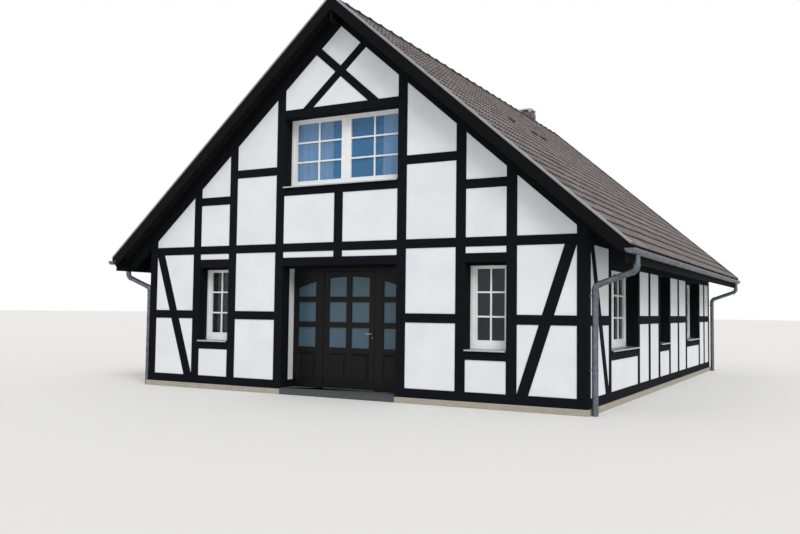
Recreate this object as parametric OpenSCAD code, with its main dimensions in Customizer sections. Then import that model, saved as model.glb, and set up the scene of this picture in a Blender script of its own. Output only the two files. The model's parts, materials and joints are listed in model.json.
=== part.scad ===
/* [House] */
// Width of the gables over the corner posts
house_w = 9500; // [9100:50:10300]
// Depth of the house over both gable frames
house_d = 12700; // [12300:50:13500]
// Height of the stone plinth under the sill beams
plinth_h = 100; // [60:10:200]
// Distance from the timber face to the face of the plinth
plinth_reach = 30; // [10:5:50]
// Thickness of the plastered wall behind the timber frame
leaf_t = 340; // [300:10:400]
// Height of the ground floor slab above the plinth
floor_rise = 20; // [10:5:40]

/* [Timber frame] */
// Depth of the timbers, from their face to the plastered wall
timber_d = 160; // [120:10:200]
// Width of the posts in the gables
post_w = 185; // [150:5:220]
// Width of the posts in the side walls
side_post_w = 150; // [120:5:180]
// Height of the rails and beams
rail_h = 160; // [130:5:190]
// Level width of the braces in the corner bays
brace_w = 200; // [150:5:230]
// Thickness of the two crossed braces in the peak
cross_brace_w = 150; // [110:5:180]
// Depth of the panels behind the timber face
panel_recess = 12; // [4:1:25]

/* [Gable posts, from the middle of the gable] */
// Middle of the posts beside the entrance
door_post_x = 1355; // [1250:5:1450]
// Middle of the inner post beside a gable window
window_post_in = 2520; // [2420:5:2600]
// Middle of the outer post beside a gable window
window_post_out = 3454; // [3350:5:3550]

/* [Levels, from the top of the plinth] */
// Underside of the rails under the ground floor windows
window_rail_z = 708; // [600:10:800]
// Underside of the middle rails
mid_rail_z = 1323; // [1200:10:1400]
// Underside of the lintels
lintel_z = 2366; // [2250:5:2400]
// Underside of the plate beams
plate_z = 2641; // [2600:5:2720]
// Underside of the rails over the plate, in the window bays
low_rail_z = 3644; // [3450:10:3750]
// Underside of the rails over the plate, beside the entrance bay
high_rail_z = 4155; // [4000:10:4300]
// Underside of the beam under the upper window
upper_sill_z = 3736; // [3600:10:3850]
// Underside of the beam over the upper window
head_beam_z = 5255; // [5150:5:5300]
// Crossing point of the two braces in the peak
cross_z = 6050; // [5950:10:6120]

/* [Side wall bays, from front to back] */
// Braced bay beside the front corner post
side_brace_bay = 1149; // [1000:10:1250]
// First window, with two casements
side_window_w = 2046; // [1900:10:2150]
// Two panel bays behind the first window
side_narrow_bay = 840; // [780:10:880]
// Second window, with one casement
side_small_window_w = 1030; // [950:10:1100]
// Two panel bays behind the second window
side_wide_bay = 930; // [870:10:980]
// Third window, with two casements
side_far_window_w = 1860; // [1750:10:1950]

/* [Roof] */
// Slope of the roof in degrees
roof_pitch = 41; // [40:0.5:42]
// Height of the tile surface over the plate beams, at the timber face of the side walls
eaves_rise = 470; // [450:5:500]
// Reach of the tiles past the side walls
eave_reach = 764; // [700:5:820]
// Reach of the roof past the gables
verge_reach = 378; // [320:1:420]
// Fitting gap between the sloping layers of the roof and what they rest on
seat_gap = 0.2; // [0.1:0.05:0.5]
// Thickness of the tiles and their battens
tile_t = 60; // [50:5:80]
// Thickness of the boarding under the battens
deck_t = 25; // [18:1:35]
// Depth of the rafters
rafter_h = 200; // [180:5:215]
// Width of the rafters
rafter_w = 90; // [70:5:110]
// Depth of the gable rafters
gable_rafter_h = 285; // [260:5:300]
// Number of rafter pairs between the gables
rafter_count = 17; // [15:1:19]
// Thickness of the ridge board
ridge_board_t = 40; // [30:2:50]
// Height of the eaves plate that carries the rafters
eaves_plate_h = 130; // [110:5:150]
// Thickness of the boards between the rafters over the wall
block_t = 25; // [18:1:35]
// Thickness of the barge boards
barge_t = 30; // [20:1:40]
// Depth of the barge boards, from the tile surface
barge_h = 215; // [190:5:240]
// Depth of the metal verge trim
trim_h = 32; // [24:1:50]
// Thickness of the metal verge trim
trim_t = 6; // [4:1:8]
// Width of the verge trim's top, over the barge board and the tiles
trim_flange_w = 105; // [60:5:130]
// Thickness of the fascia boards
fascia_t = 25; // [18:1:35]
// Reach of the tiles past the fascia
tile_drip = 94; // [85:1:110]
// Reach of the tiles past the boarding
batten_reach = 34; // [20:1:45]
// Outer radius of the ridge tiles
ridge_tile_r = 120; // [105:1:135]
// Thickness of the ridge tiles
ridge_tile_t = 15; // [12:1:20]
// Depth of the ridge tiles' crown under the point where the tile surfaces would meet
ridge_drop = 10; // [0:1:15]

/* [Chimney] */
// Width of the chimney shaft, across the ridge
chimney_w = 360; // [320:10:480]
// Depth of the chimney shaft, along the ridge
chimney_d = 440; // [360:10:520]
// Rafter bay that the chimney passes, counted from the front
chimney_bay = 15; // [13:1:15]
// Distance of the shaft from the middle of that bay, towards the back
chimney_back = 85; // [0:5:90]
// Height of the shaft above the ridge
chimney_rise = 305; // [200:5:500]
// Distance from the shaft to the ridge tiles
chimney_gap = 20; // [10:5:60]
// Height of the four blocks that carry the cap
cap_leg_h = 60; // [40:5:100]
// Width of the four blocks that carry the cap
cap_leg_w = 70; // [50:5:90]
// Thickness of the cap plate
cap_t = 40; // [25:5:60]
// Reach of the cap plate past the shaft
cap_reach = 20; // [10:5:50]

/* [Gutters and downpipes] */
// Outer radius of the gutters
gutter_r = 75; // [65:1:80]
// Wall of the gutters
gutter_t = 4; // [3:0.5:6]
// Height from the gutter's rim to the lowest edge of the tiles
gutter_drop = 12; // [8:1:30]
// Thickness of the end caps
gutter_end_t = 6; // [4:1:10]
// Reach of the gutters past the verges
gutter_past = 45; // [0:5:60]
// Radius of the downpipes
pipe_r = 50; // [40:1:52]
// Middle of the downpipes, from the side wall
pipe_reach = 90; // [86:1:110]
// Middle of the downpipes, from the gable face
pipe_in = 80; // [70:1:100]
// Radius of the bends, at the middle of the pipe
pipe_bend_r = 100; // [90:5:130]
// Turn of each bend in degrees
pipe_bend = 70; // [60:1:75]
// Straight length of pipe under the gutter
pipe_neck = 170; // [80:5:180]
// Radius of the sockets on the downpipes
socket_r = 57; // [54:1:60]
// Height of the sockets
socket_h = 40; // [30:5:60]
// Height of the lower clip and socket above the ground
clip_low_z = 706; // [600:10:900]
// Height of the upper clip and socket above the ground
clip_high_z = 1880; // [1700:10:1900]
// Width and height of the clip stems
clip_stem_w = 30; // [20:5:40]

/* [Windows] */
// Depth of the window frames behind the timber face
reveal_d = 240; // [200:5:250]
// Thickness of the boards that line the openings
lining_t = 25; // [18:1:30]
// Height of the ground floor windows' frames behind the lintel
head_rise = 25; // [0:1:45]
// Height of the upper windows' frames behind the beam over them
upper_head_rise = 38; // [0:1:45]
// Drop of the boards in front of the heads of the ground floor windows and of the entrance
head_board_drop = 42; // [0:1:60]
// Extra height of the fixed frame's foot, in the ground floor windows
frame_foot = 25; // [0:1:40]
// Depth of the window frames, front to back
frame_d = 70; // [60:1:80]
// Width of the fixed frame
frame_w = 55; // [45:1:65]
// Width of the casement stiles and rails
sash_w = 65; // [55:1:75]
// Width of the post between two casements
mullion_w = 84; // [70:1:95]
// Width of the glazing bars
bar_w = 30; // [28:1:50]
// Depth of the glazing bars
bar_d = 30; // [24:1:36]
// Setback of the casements behind the fixed frame
sash_recess = 8; // [5:1:12]
// Setback of the glazing bars behind the casements
bar_recess = 6; // [4:1:10]
// Thickness of the glass
glass_t = 20; // [16:1:24]
// Thickness of the metal window sills at the frame
sill_t = 25; // [20:1:30]
// Reach of the window sills past the timber face
sill_reach = 40; // [25:1:60]
// Fall of the window sills from the frame to the nose
sill_fall = 11; // [6:1:14]
// Height of the turned down edge of the window sills
sill_nose = 25; // [15:1:35]
// Thickness of the turned down edge
sill_lip = 4; // [3:1:6]

/* [Entrance] */
// Depth of the door set behind the timber face
door_set_d = 430; // [400:5:430]
// Depth of the door frame, front to back
door_frame_d = 70; // [65:1:85]
// Half of the clear width between the two side lights
door_half = 575; // [540:5:600]
// Gap between the leaf and the frame on the hinge side
door_gap_hinge = 5; // [5:0.5:8]
// Gap between the leaf and the frame on the lock side
door_gap_lock = 9; // [8:0.5:12]
// Gap under and over the leaf
door_gap_v = 6; // [5:0.5:10]
// Thickness of the leaf
leaf_door_t = 60; // [50:1:64]
// Width of the stiles of the leaf
door_stile_w = 115; // [100:1:130]
// Width of the glazing bars of the door set, upright
door_bar_w = 116; // [90:1:125]
// Height of the glazing bars of the door set, level
door_bar_h = 103; // [80:1:110]
// Underside of the lowest panes, from the top of the plinth
door_glass_z = 807; // [700:1:850]
// Height of one lower pane
door_pane_h = 386; // [350:1:400]
// Top of the arch of the panes, from the top of the plinth
door_arch_z = 2167; // [2150:1:2200]
// Radius of the arch of the panes
door_arch_r = 3400; // [3000:50:3800]
// Width of the stile between a side light's panes and the leaf
side_light_stile = 185; // [180:5:215]
// Width of the outer stile of a side light
side_light_outer = 88; // [70:1:100]
// Underside of the moulded panels, from the top of the plinth
door_panel_z = 150; // [130:5:200]
// Height of the moulded panels
door_panel_h = 560; // [480:5:580]
// Depth of the panel moulding
door_panel_d = 12; // [8:1:16]
// Width of the panel moulding
door_panel_edge = 40; // [30:1:55]
// Thickness of the door glass
door_glass_t = 16; // [12:1:24]
// Underside of the frame head over the leaf, from the top of the plinth
door_head_z = 2270; // [2260:5:2300]
// Height of the metal threshold
threshold_h = 16; // [12:1:20]

/* [Door furniture] */
// Middle of the handle, from the top of the plinth
handle_z = 1085; // [1000:5:1150]
// Distance from the edge of the leaf to the lever's spindle
handle_backset = 33; // [30:1:60]
// Length of the lever from the spindle
lever_l = 130; // [110:5:150]
// Radius of the lever
lever_r = 8; // [8:0.5:12]
// Height of the handle's back plate
handle_plate_h = 230; // [180:5:260]
// Width of the handle's back plate
handle_plate_w = 40; // [34:1:50]
// Thickness of the handle's back plate
handle_plate_t = 6; // [4:1:8]
// Distance from the leaf to the middle of the lever
handle_reach = 50; // [42:1:60]
// Radius of the hinge knuckles
knuckle_r = 9; // [8:0.5:11]
// Length of one hinge, over both knuckles
hinge_l = 120; // [100:5:140]
// Radius of the hinge pins
pin_r = 5; // [4:0.5:6]
// Running clearance of the knuckles
hinge_play = 0.3; // [0.2:0.05:0.5]
// Thickness of the hinge plates
hinge_plate_t = 3; // [2:0.5:4]
// Width of the hinge plates
hinge_plate_w = 36; // [30:1:45]
// Middle of the lowest hinge above the bottom of the leaf
hinge_low = 250; // [200:10:300]

/* [Hidden] */
// Facets of a circle and of the door's arch, for the preview
$fn = 48;
arch_facets = 360;

half_w = house_w / 2;
half_d = house_d / 2;
wall_t = timber_d + leaf_t;
tan_p = tan(roof_pitch);
cos_p = cos(roof_pitch);
// Plumb height of a thickness measured square to the roof
function plumb(t) = t / cos_p;
function at(apex, x) = apex - tan_p * abs(x);

// Heights of the frame above the ground
sill_top = plinth_h + rail_h;
plate_bottom = plinth_h + plate_z;
plate_top = plate_bottom + rail_h;
lintel_bottom = plinth_h + lintel_z;
window_bottom = plinth_h + window_rail_z + rail_h;
mid_bottom = plinth_h + mid_rail_z;
upper_bottom = plinth_h + upper_sill_z + rail_h;
upper_top = plinth_h + head_beam_z;
floor_top = plinth_h + floor_rise;

// Apex heights: tiles, boarding, rafters, underside of the gable rafters, and the gable frame under them
ridge_h = plate_top + eaves_rise + tan_p * half_w;
deck_apex = ridge_h - plumb(tile_t) - seat_gap;
rafter_apex = deck_apex - plumb(deck_t) - seat_gap;
gable_foot_apex = rafter_apex - plumb(gable_rafter_h);
frame_apex = gable_foot_apex - seat_gap;

// Each opening: left, right, bottom, top, extra height of the frame's foot, and the height of its head
// that the board in front hides
half_post = post_w / 2;
ground_head = lintel_bottom + head_rise;
ground_cover = head_rise + head_board_drop;
window_in = window_post_in + half_post;
window_out = window_post_out - half_post;
door_side = door_post_x - half_post;
gable_window = [window_in, window_out, window_bottom, ground_head, frame_foot, ground_cover];
upper_window = [-door_side, door_side, upper_bottom, upper_top + upper_head_rise, 0, upper_head_rise];
doorway = [-door_side, door_side, plinth_h, lintel_bottom, 0, head_board_drop];

// Side wall: width of each bay from the front, and the place where each one starts
side_front_bays = [side_brace_bay, side_window_w, side_narrow_bay, side_narrow_bay, side_small_window_w,
                   side_wide_bay, side_wide_bay, side_far_window_w];
function total(list, i = 0) = i == len(list) ? 0 : list[i] + total(list, i + 1);
side_last = len(side_front_bays) + 1;
side_end_bay = (house_d - 2 * timber_d - side_last * side_post_w - total(side_front_bays)) / 2;
side_bays = concat(side_front_bays, [side_end_bay, side_end_bay]);
side_window_bays = [1, 4, 7];
side_casements = [2, 1, 2];
side_panel_bays = [0, 2, 3, 5, 6, 8, 9];
function bay_start(i) = i == 0 ? timber_d : bay_start(i - 1) + side_bays[i - 1] + side_post_w;
function bay_end(i) = bay_start(i) + side_bays[i];
function side_opening(i) = [bay_start(i), bay_end(i), window_bottom, ground_head, frame_foot, ground_cover];

// Roof outline
roof_y = half_d + verge_reach;
barge_y = roof_y - trim_t;
tile_end_y = barge_y - barge_t;
tile_x = half_w + eave_reach;
fascia_x = tile_x - tile_drip;
deck_x = tile_x - batten_reach;
tail_x = fascia_x - fascia_t;
ridge_z = ridge_h - ridge_drop - ridge_tile_r;
tile_gap = 75;
deck_gap = 10;
mitre_gap = 1;
// Clearance between the end rafters and the gable walls
rafter_gap = 5;
gutter_x = fascia_x + gutter_r;
gutter_y = roof_y + gutter_past;
gutter_z = at(ridge_h, tile_x) - plumb(tile_t) - gutter_drop;
rafter_first = half_d - wall_t - rafter_w / 2 - rafter_gap;
rafter_step = 2 * rafter_first / (rafter_count - 1);
function rafter_y(i) = -rafter_first + i * rafter_step;

// Chimney shaft
chimney_x = -(ridge_tile_r + chimney_gap + chimney_w / 2);
chimney_y = (rafter_y(chimney_bay - 1) + rafter_y(chimney_bay)) / 2 + chimney_back;
chimney_top = ridge_h + chimney_rise;

// Downpipe route
pipe_x = half_w + pipe_reach;
pipe_z = gutter_z - gutter_r - pipe_neck;
pipe_run = gutter_x - pipe_x;
pipe_slope_l = (pipe_run - 2 * pipe_bend_r * (1 - cos(pipe_bend))) / sin(pipe_bend);
pipe_low_z = pipe_z - 2 * pipe_bend_r * sin(pipe_bend) - pipe_slope_l * cos(pipe_bend);
slope_x = gutter_x - pipe_bend_r * (1 - cos(pipe_bend));
slope_z = pipe_z - pipe_bend_r * sin(pipe_bend);
pipe_lean = pipe_bend - 180;

// Door leaf, seen from the front, hinged at the left
threshold_top = plinth_h + floor_rise + threshold_h;
leaf_left = -door_half + door_gap_hinge;
leaf_right = door_half - door_gap_lock;
leaf_bottom = threshold_top + door_gap_v;
leaf_top = plinth_h + door_head_z - door_gap_v;
leaf_back = door_set_d + door_frame_d - hinge_plate_t;
leaf_front = leaf_back - leaf_door_t;
hinge_y = door_set_d + door_frame_d + knuckle_r + hinge_plate_t;
hinge_x = (leaf_left - door_half) / 2;
hinge_zs = [leaf_bottom + hinge_low, (leaf_bottom + leaf_top) / 2, leaf_top - hinge_low];
handle_x = leaf_right - handle_backset;
pane_w = (leaf_right - leaf_left - 2 * door_stile_w - door_bar_w) / 2;
set_side = door_side + lining_t;
light_left = door_half + side_light_stile;
light_right = set_side - lining_t - side_light_outer;
frame_bottom = plinth_h + floor_rise;

// Places a wall drawn as across, depth and height on each side of the house
module on_front() translate([0, -half_d, 0]) children();
module on_back() mirror([0, 1, 0]) on_front() children();
module on_right() translate([half_w, -half_d, 0]) rotate([0, 0, 90]) children();
module on_left() mirror([1, 0, 0]) on_right() children();
module both_sides() {
    children();
    mirror([1, 0, 0]) children();
}
module both_gables() {
    children();
    mirror([0, 1, 0]) children();
}

// Gives an upright outline its thickness, from one depth to another
module upright(from, to) translate([0, to, 0]) rotate([90, 0, 0]) linear_extrude(to - from) children();

module span(x0, x1, z0, z1) translate([x0, z0]) square([x1 - x0, z1 - z0]);
module opening_2d(o) span(o[0], o[1], o[2], o[3]);
module mirrored_2d() {
    children();
    mirror([1, 0]) children();
}
// Band under a sloping line, with plumb ends
module slope_2d(apex, thick, x0, x1)
    polygon([[x0, at(apex, x0)], [x1, at(apex, x1)],
             [x1, at(apex, x1) - plumb(thick)], [x0, at(apex, x0) - plumb(thick)]]);
// Wall outline under a pair of slopes
module gable_2d(apex, half)
    polygon([[-half, plinth_h], [half, plinth_h], [half, at(apex, half)],
             [0, apex], [-half, at(apex, half)]]);
// Leaning brace that fills a bay from corner to corner
module brace_2d(x0, x1, z0, z1, w)
    polygon([[x0, z1], [x0 + w, z1], [x1, z0], [x1 - w, z0]]);

// Gable frame
module post_2d(x, z0, z1, w) span(x - w / 2, x + w / 2, z0, z1);
module gable_posts_2d(entrance) intersection() {
    gable_2d(frame_apex, half_w);
    union() {
        mirrored_2d() {
            post_2d(half_w - half_post, sill_top, plate_top + house_w, post_w);
            post_2d(window_post_in, sill_top, ridge_h, post_w);
            post_2d(window_post_out, sill_top, ridge_h, post_w);
            post_2d(door_post_x, entrance ? plinth_h : sill_top, ridge_h, post_w);
        }
        post_2d(0, lintel_bottom + rail_h, plate_bottom, post_w);
        post_2d(0, plate_top, plinth_h + upper_sill_z, post_w);
    }
}
module beam_2d(x0, x1, z) span(x0, x1, z, z + rail_h);
module gable_beams_2d(entrance) {
    mirrored_2d() {
        beam_2d(entrance ? door_post_x : 0, half_w, plinth_h);
        beam_2d(window_post_in, window_post_out, plinth_h + window_rail_z);
        beam_2d(window_post_in, window_post_out, lintel_bottom);
        beam_2d(window_post_in, window_post_out, plinth_h + low_rail_z);
        beam_2d(door_post_x, window_post_in, plinth_h + high_rail_z);
        beam_2d(window_post_out, half_w, mid_bottom);
        beam_2d(entrance ? door_post_x : 0, window_post_in, mid_bottom);
        beam_2d(0, half_w, plate_bottom);
    }
    beam_2d(-door_post_x, door_post_x, lintel_bottom);
    beam_2d(-door_post_x, door_post_x, plinth_h + upper_sill_z);
    beam_2d(-door_post_x, door_post_x, upper_top);
}
module gable_braces_2d() {
    mirrored_2d() mirror([1, 0])
        brace_2d(-half_w + post_w, -window_post_out - half_post, sill_top, plate_bottom, brace_w);
    intersection() {
        gable_2d(frame_apex, half_w);
        span(-door_side, door_side, upper_top + rail_h, ridge_h);
        translate([0, plinth_h + cross_z]) for (turn = [-roof_pitch, roof_pitch])
            rotate(turn) square([house_w, cross_brace_w], center = true);
    }
}
module gable_rails_2d(entrance) intersection() {
    gable_2d(frame_apex, half_w);
    difference() {
        gable_beams_2d(entrance);
        gable_posts_2d(entrance);
        gable_braces_2d();
    }
}
module gable_openings_2d(entrance) {
    mirrored_2d() opening_2d(gable_window);
    opening_2d(upper_window);
    if (entrance) opening_2d(doorway);
}
module gable_panels_2d(entrance) difference() {
    gable_2d(frame_apex, half_w);
    gable_posts_2d(entrance);
    gable_beams_2d(entrance);
    gable_braces_2d();
    gable_openings_2d(entrance);
}
module gable_rafter_2d() {
    slope_2d(rafter_apex, gable_rafter_h, ridge_board_t / 2, half_w);
    slope_2d(rafter_apex, rafter_h, ridge_board_t / 2, tail_x);
}

// Side frame
module side_posts_2d() for (i = [0 : side_last - 1])
    span(bay_end(i), bay_end(i) + side_post_w, sill_top, plate_bottom);
module side_beams_2d() {
    span(timber_d, house_d - timber_d, plinth_h, sill_top);
    span(timber_d, house_d - timber_d, plate_bottom, plate_top);
    for (i = side_panel_bays) beam_2d(bay_start(i), bay_end(i), mid_bottom);
    for (i = side_window_bays) beam_2d(bay_start(i), bay_end(i), plinth_h + window_rail_z);
    for (i = [1 : side_last]) span(bay_start(i), bay_end(i), lintel_bottom, plate_bottom);
}
module side_braces_2d() brace_2d(bay_start(0), bay_end(0), sill_top, plate_bottom, brace_w);
module side_rails_2d() difference() {
    side_beams_2d();
    side_braces_2d();
}
module side_panels_2d() difference() {
    span(timber_d, house_d - timber_d, plinth_h, plate_top);
    side_posts_2d();
    side_beams_2d();
    side_braces_2d();
    for (i = side_window_bays) opening_2d(side_opening(i));
}

// Plastered wall behind the frame: full height piers, and the bands between them
half_leaf = half_w - timber_d;
module lined_2d(o) span(o[0] - lining_t, o[1] + lining_t, o[2], o[3] + lining_t);
module strip_2d(o) span(o[0] - lining_t, o[1] + lining_t, 0, ridge_h);
module gable_strips_2d() {
    mirrored_2d() strip_2d(gable_window);
    strip_2d(upper_window);
}
module gable_piers_2d() difference() {
    gable_2d(rafter_apex, half_leaf);
    gable_strips_2d();
}
module gable_bands_2d(entrance) difference() {
    intersection() {
        gable_2d(rafter_apex, half_leaf);
        gable_strips_2d();
    }
    mirrored_2d() lined_2d(gable_window);
    lined_2d(upper_window);
    if (entrance) lined_2d(doorway);
    span(-ridge_board_t / 2, ridge_board_t / 2, gable_foot_apex, ridge_h);
}
module side_piers_2d() difference() {
    span(wall_t, house_d - wall_t, plinth_h, plate_top);
    for (i = side_window_bays) strip_2d(side_opening(i));
}
module side_bands_2d() for (i = side_window_bays) difference() {
    intersection() {
        span(wall_t, house_d - wall_t, plinth_h, plate_top);
        strip_2d(side_opening(i));
    }
    lined_2d(side_opening(i));
}

// Board lining of one opening: two sides and the head, which hangs in front of the window frame
module lining(o) upright(timber_d, reveal_d) difference() {
    lined_2d(o);
    span(o[0], o[1], o[2], o[3] - o[5]);
}

// One window: the fixed frame, its casements with glazing bars, its glass and its sill
glass_y = reveal_d + sash_recess + bar_recess + bar_d;
function cell_w(o, n) = (o[1] - o[0] - 2 * frame_w - (n - 1) * mullion_w) / n;
function cell_x(o, n, i) = o[0] + frame_w + i * (cell_w(o, n) + mullion_w);
function cell_z(o) = o[2] + sill_t + frame_w + o[4];
module cell_2d(o, n, i, inset)
    span(cell_x(o, n, i) + inset, cell_x(o, n, i) + cell_w(o, n) - inset,
         cell_z(o) + inset, o[3] - frame_w - inset);
module bars_2d(o, n, i) {
    x0 = cell_x(o, n, i);
    w = cell_w(o, n);
    z0 = cell_z(o) + sash_w;
    h = o[3] - frame_w - sash_w - z0;
    span(x0 + w / 2 - bar_w / 2, x0 + w / 2 + bar_w / 2, z0, z0 + h);
    for (k = [1, 2]) translate([0, z0 + k * (h + bar_w) / 3 - bar_w])
        span(x0 + sash_w, x0 + w - sash_w, 0, bar_w);
}
module window_unit(o, n) {
    upright(reveal_d, reveal_d + frame_d) difference() {
        lined_2d(o);
        for (i = [0 : n - 1]) cell_2d(o, n, i, 0);
    }
    for (i = [0 : n - 1]) {
        upright(reveal_d + sash_recess, reveal_d + frame_d) difference() {
            cell_2d(o, n, i, 0);
            cell_2d(o, n, i, sash_w);
        }
        upright(glass_y - bar_d, glass_y) bars_2d(o, n, i);
    }
}
module window_pane(o, n) for (i = [0 : n - 1])
    upright(glass_y, glass_y + glass_t) cell_2d(o, n, i, sash_w);
module window_sill(o) translate([o[0], 0, o[2]]) rotate([90, 0, 90]) linear_extrude(o[1] - o[0])
    polygon([[reveal_d, 0], [reveal_d, sill_t], [-sill_reach, sill_t - sill_fall],
             [-sill_reach, sill_t - sill_fall - sill_nose],
             [sill_lip - sill_reach, sill_t - sill_fall - sill_nose],
             [sill_lip - sill_reach, 0]]);
module each_gable_window() both_sides() children();
module each_side_window() for (k = [0 : len(side_window_bays) - 1]) {
    $opening = side_opening(side_window_bays[k]);
    $casements = side_casements[k];
    children();
}

// Panes under one shallow arch, between two plumb lines
module arch_2d() translate([0, plinth_h + door_arch_z - door_arch_r]) circle(door_arch_r, $fn = arch_facets);
module panes_2d(x0, x1) {
    z0 = plinth_h + door_glass_z;
    step = door_pane_h + door_bar_h;
    for (k = [0, 1]) span(x0, x1, z0 + k * step, z0 + k * step + door_pane_h);
    intersection() {
        span(x0, x1, z0 + 2 * step, plinth_h + door_head_z);
        arch_2d();
    }
}
module panel_edge_2d(x0, x1) difference() {
    span(x0, x1, plinth_h + door_panel_z, plinth_h + door_panel_z + door_panel_h);
    span(x0 + door_panel_edge, x1 - door_panel_edge, plinth_h + door_panel_z + door_panel_edge,
         plinth_h + door_panel_z + door_panel_h - door_panel_edge);
}
leaf_cols = [[leaf_left + door_stile_w, leaf_left + door_stile_w + pane_w],
             [leaf_right - door_stile_w - pane_w, leaf_right - door_stile_w]];

module plinth() color("darkgray") difference() {
    translate([-half_w - plinth_reach, -half_d - plinth_reach, 0])
        cube([house_w + 2 * plinth_reach, house_d + 2 * plinth_reach, plinth_h]);
    translate([wall_t - half_w, wall_t - half_d, -plinth_h])
        cube([house_w - 2 * wall_t, house_d - 2 * wall_t, 3 * plinth_h]);
}
module ground_floor() color("lightgray") translate([wall_t - half_w, wall_t - half_d, 0])
    cube([house_w - 2 * wall_t, house_d - 2 * wall_t, floor_top]);
module chimney_room() translate([chimney_x - chimney_w / 2, chimney_y - chimney_d / 2, floor_top])
    cube([chimney_w, chimney_d, chimney_top - floor_top]);
module upper_floor() color("burlywood") difference() {
    translate([wall_t - half_w, wall_t - half_d, plate_bottom])
        cube([house_w - 2 * wall_t, house_d - 2 * wall_t, rail_h]);
    chimney_room();
}

module front_posts() color([0.09, 0.09, 0.10]) on_front() upright(0, timber_d) gable_posts_2d(true);
module back_posts() color([0.09, 0.09, 0.10]) on_back() upright(0, timber_d) gable_posts_2d(false);
module front_rails() color([0.09, 0.09, 0.10]) on_front() upright(0, timber_d) gable_rails_2d(true);
module back_rails() color([0.09, 0.09, 0.10]) on_back() upright(0, timber_d) gable_rails_2d(false);
module front_panels() color("white") on_front() upright(panel_recess, timber_d) gable_panels_2d(true);
module back_panels() color("white") on_back() upright(panel_recess, timber_d) gable_panels_2d(false);
module right_posts() color([0.09, 0.09, 0.10]) on_right() upright(0, timber_d) side_posts_2d();
module left_posts() color([0.09, 0.09, 0.10]) on_left() upright(0, timber_d) side_posts_2d();
module right_rails() color([0.09, 0.09, 0.10]) on_right() upright(0, timber_d) side_rails_2d();
module left_rails() color([0.09, 0.09, 0.10]) on_left() upright(0, timber_d) side_rails_2d();
module right_panels() color("white") on_right() upright(panel_recess, timber_d) side_panels_2d();
module left_panels() color("white") on_left() upright(panel_recess, timber_d) side_panels_2d();
module gable_braces() color([0.09, 0.09, 0.10]) both_gables() on_front() upright(0, timber_d)
    gable_braces_2d();
module side_braces() color([0.09, 0.09, 0.10]) both_sides() on_right() upright(0, timber_d)
    side_braces_2d();
module gable_rafters() color([0.09, 0.09, 0.10]) both_gables() both_sides() on_front() upright(0, timber_d)
    gable_rafter_2d();

module gable_wall_piers() color("whitesmoke") both_gables() on_front() upright(timber_d, wall_t)
    gable_piers_2d();
module gable_wall_bands() color("whitesmoke") {
    on_front() upright(timber_d, wall_t) gable_bands_2d(true);
    on_back() upright(timber_d, wall_t) gable_bands_2d(false);
}
module side_wall_piers() color("whitesmoke") both_sides() on_right() upright(timber_d, wall_t)
    side_piers_2d();
module side_wall_bands() color("whitesmoke") both_sides() on_right() upright(timber_d, wall_t)
    side_bands_2d();

module reveal_boards() color([0.10, 0.09, 0.09]) {
    both_gables() on_front() {
        each_gable_window() lining(gable_window);
        lining(upper_window);
    }
    on_front() lining(doorway);
    both_sides() on_right() each_side_window() lining($opening);
}
module gable_window_frames() {
    each_gable_window() window_unit(gable_window, 1);
    window_unit(upper_window, 2);
}
module front_windows() color("white") on_front() gable_window_frames();
module back_windows() color("white") on_back() gable_window_frames();
module right_windows() color("white") on_right() each_side_window() window_unit($opening, $casements);
module left_windows() color("white") on_left() each_side_window() window_unit($opening, $casements);
module window_glass() color([0.45, 0.55, 0.65, 0.5]) {
    both_gables() on_front() {
        each_gable_window() window_pane(gable_window, 1);
        window_pane(upper_window, 2);
    }
    both_sides() on_right() each_side_window() window_pane($opening, $casements);
}
module window_sills() color("silver") {
    both_gables() on_front() {
        each_gable_window() window_sill(gable_window);
        window_sill(upper_window);
    }
    both_sides() on_right() each_side_window() window_sill($opening);
}

module door_step() color("gray") on_front() {
    translate([-door_side, -plinth_reach, plinth_h]) cube([2 * door_side, plinth_reach + wall_t, floor_rise]);
    translate([-door_half, leaf_front, floor_top]) cube([2 * door_half, leaf_door_t, threshold_h]);
}
module entrance_frame() color([0.13, 0.11, 0.10]) on_front() {
    both_sides() difference() {
        upright(door_set_d, door_set_d + door_frame_d) difference() {
            span(door_half, set_side, frame_bottom, lintel_bottom + lining_t);
            panes_2d(light_left, light_right);
        }
        upright(door_set_d - door_panel_d, door_set_d + door_panel_d) panel_edge_2d(light_left, light_right);
    }
    upright(door_set_d, door_set_d + door_frame_d)
        span(-door_half + mitre_gap, door_half - mitre_gap, plinth_h + door_head_z, lintel_bottom + lining_t);
}
module side_light_glass() color([0.5, 0.58, 0.65, 0.6]) on_front() both_sides()
    upright(door_set_d + (door_frame_d - door_glass_t) / 2, door_set_d + (door_frame_d + door_glass_t) / 2)
        panes_2d(light_left, light_right);
module door_leaf() color([0.13, 0.11, 0.10]) on_front() difference() {
    upright(leaf_front, leaf_back) difference() {
        span(leaf_left, leaf_right, leaf_bottom, leaf_top);
        for (c = leaf_cols) panes_2d(c[0], c[1]);
    }
    for (c = leaf_cols) upright(leaf_front - door_panel_d, leaf_front + door_panel_d)
        panel_edge_2d(c[0], c[1]);
}
module door_glass() color([0.5, 0.58, 0.65, 0.6]) on_front()
    upright((leaf_front + leaf_back) / 2 - door_glass_t / 2, (leaf_front + leaf_back) / 2 + door_glass_t / 2)
        for (c = leaf_cols) panes_2d(c[0], c[1]);
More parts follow.
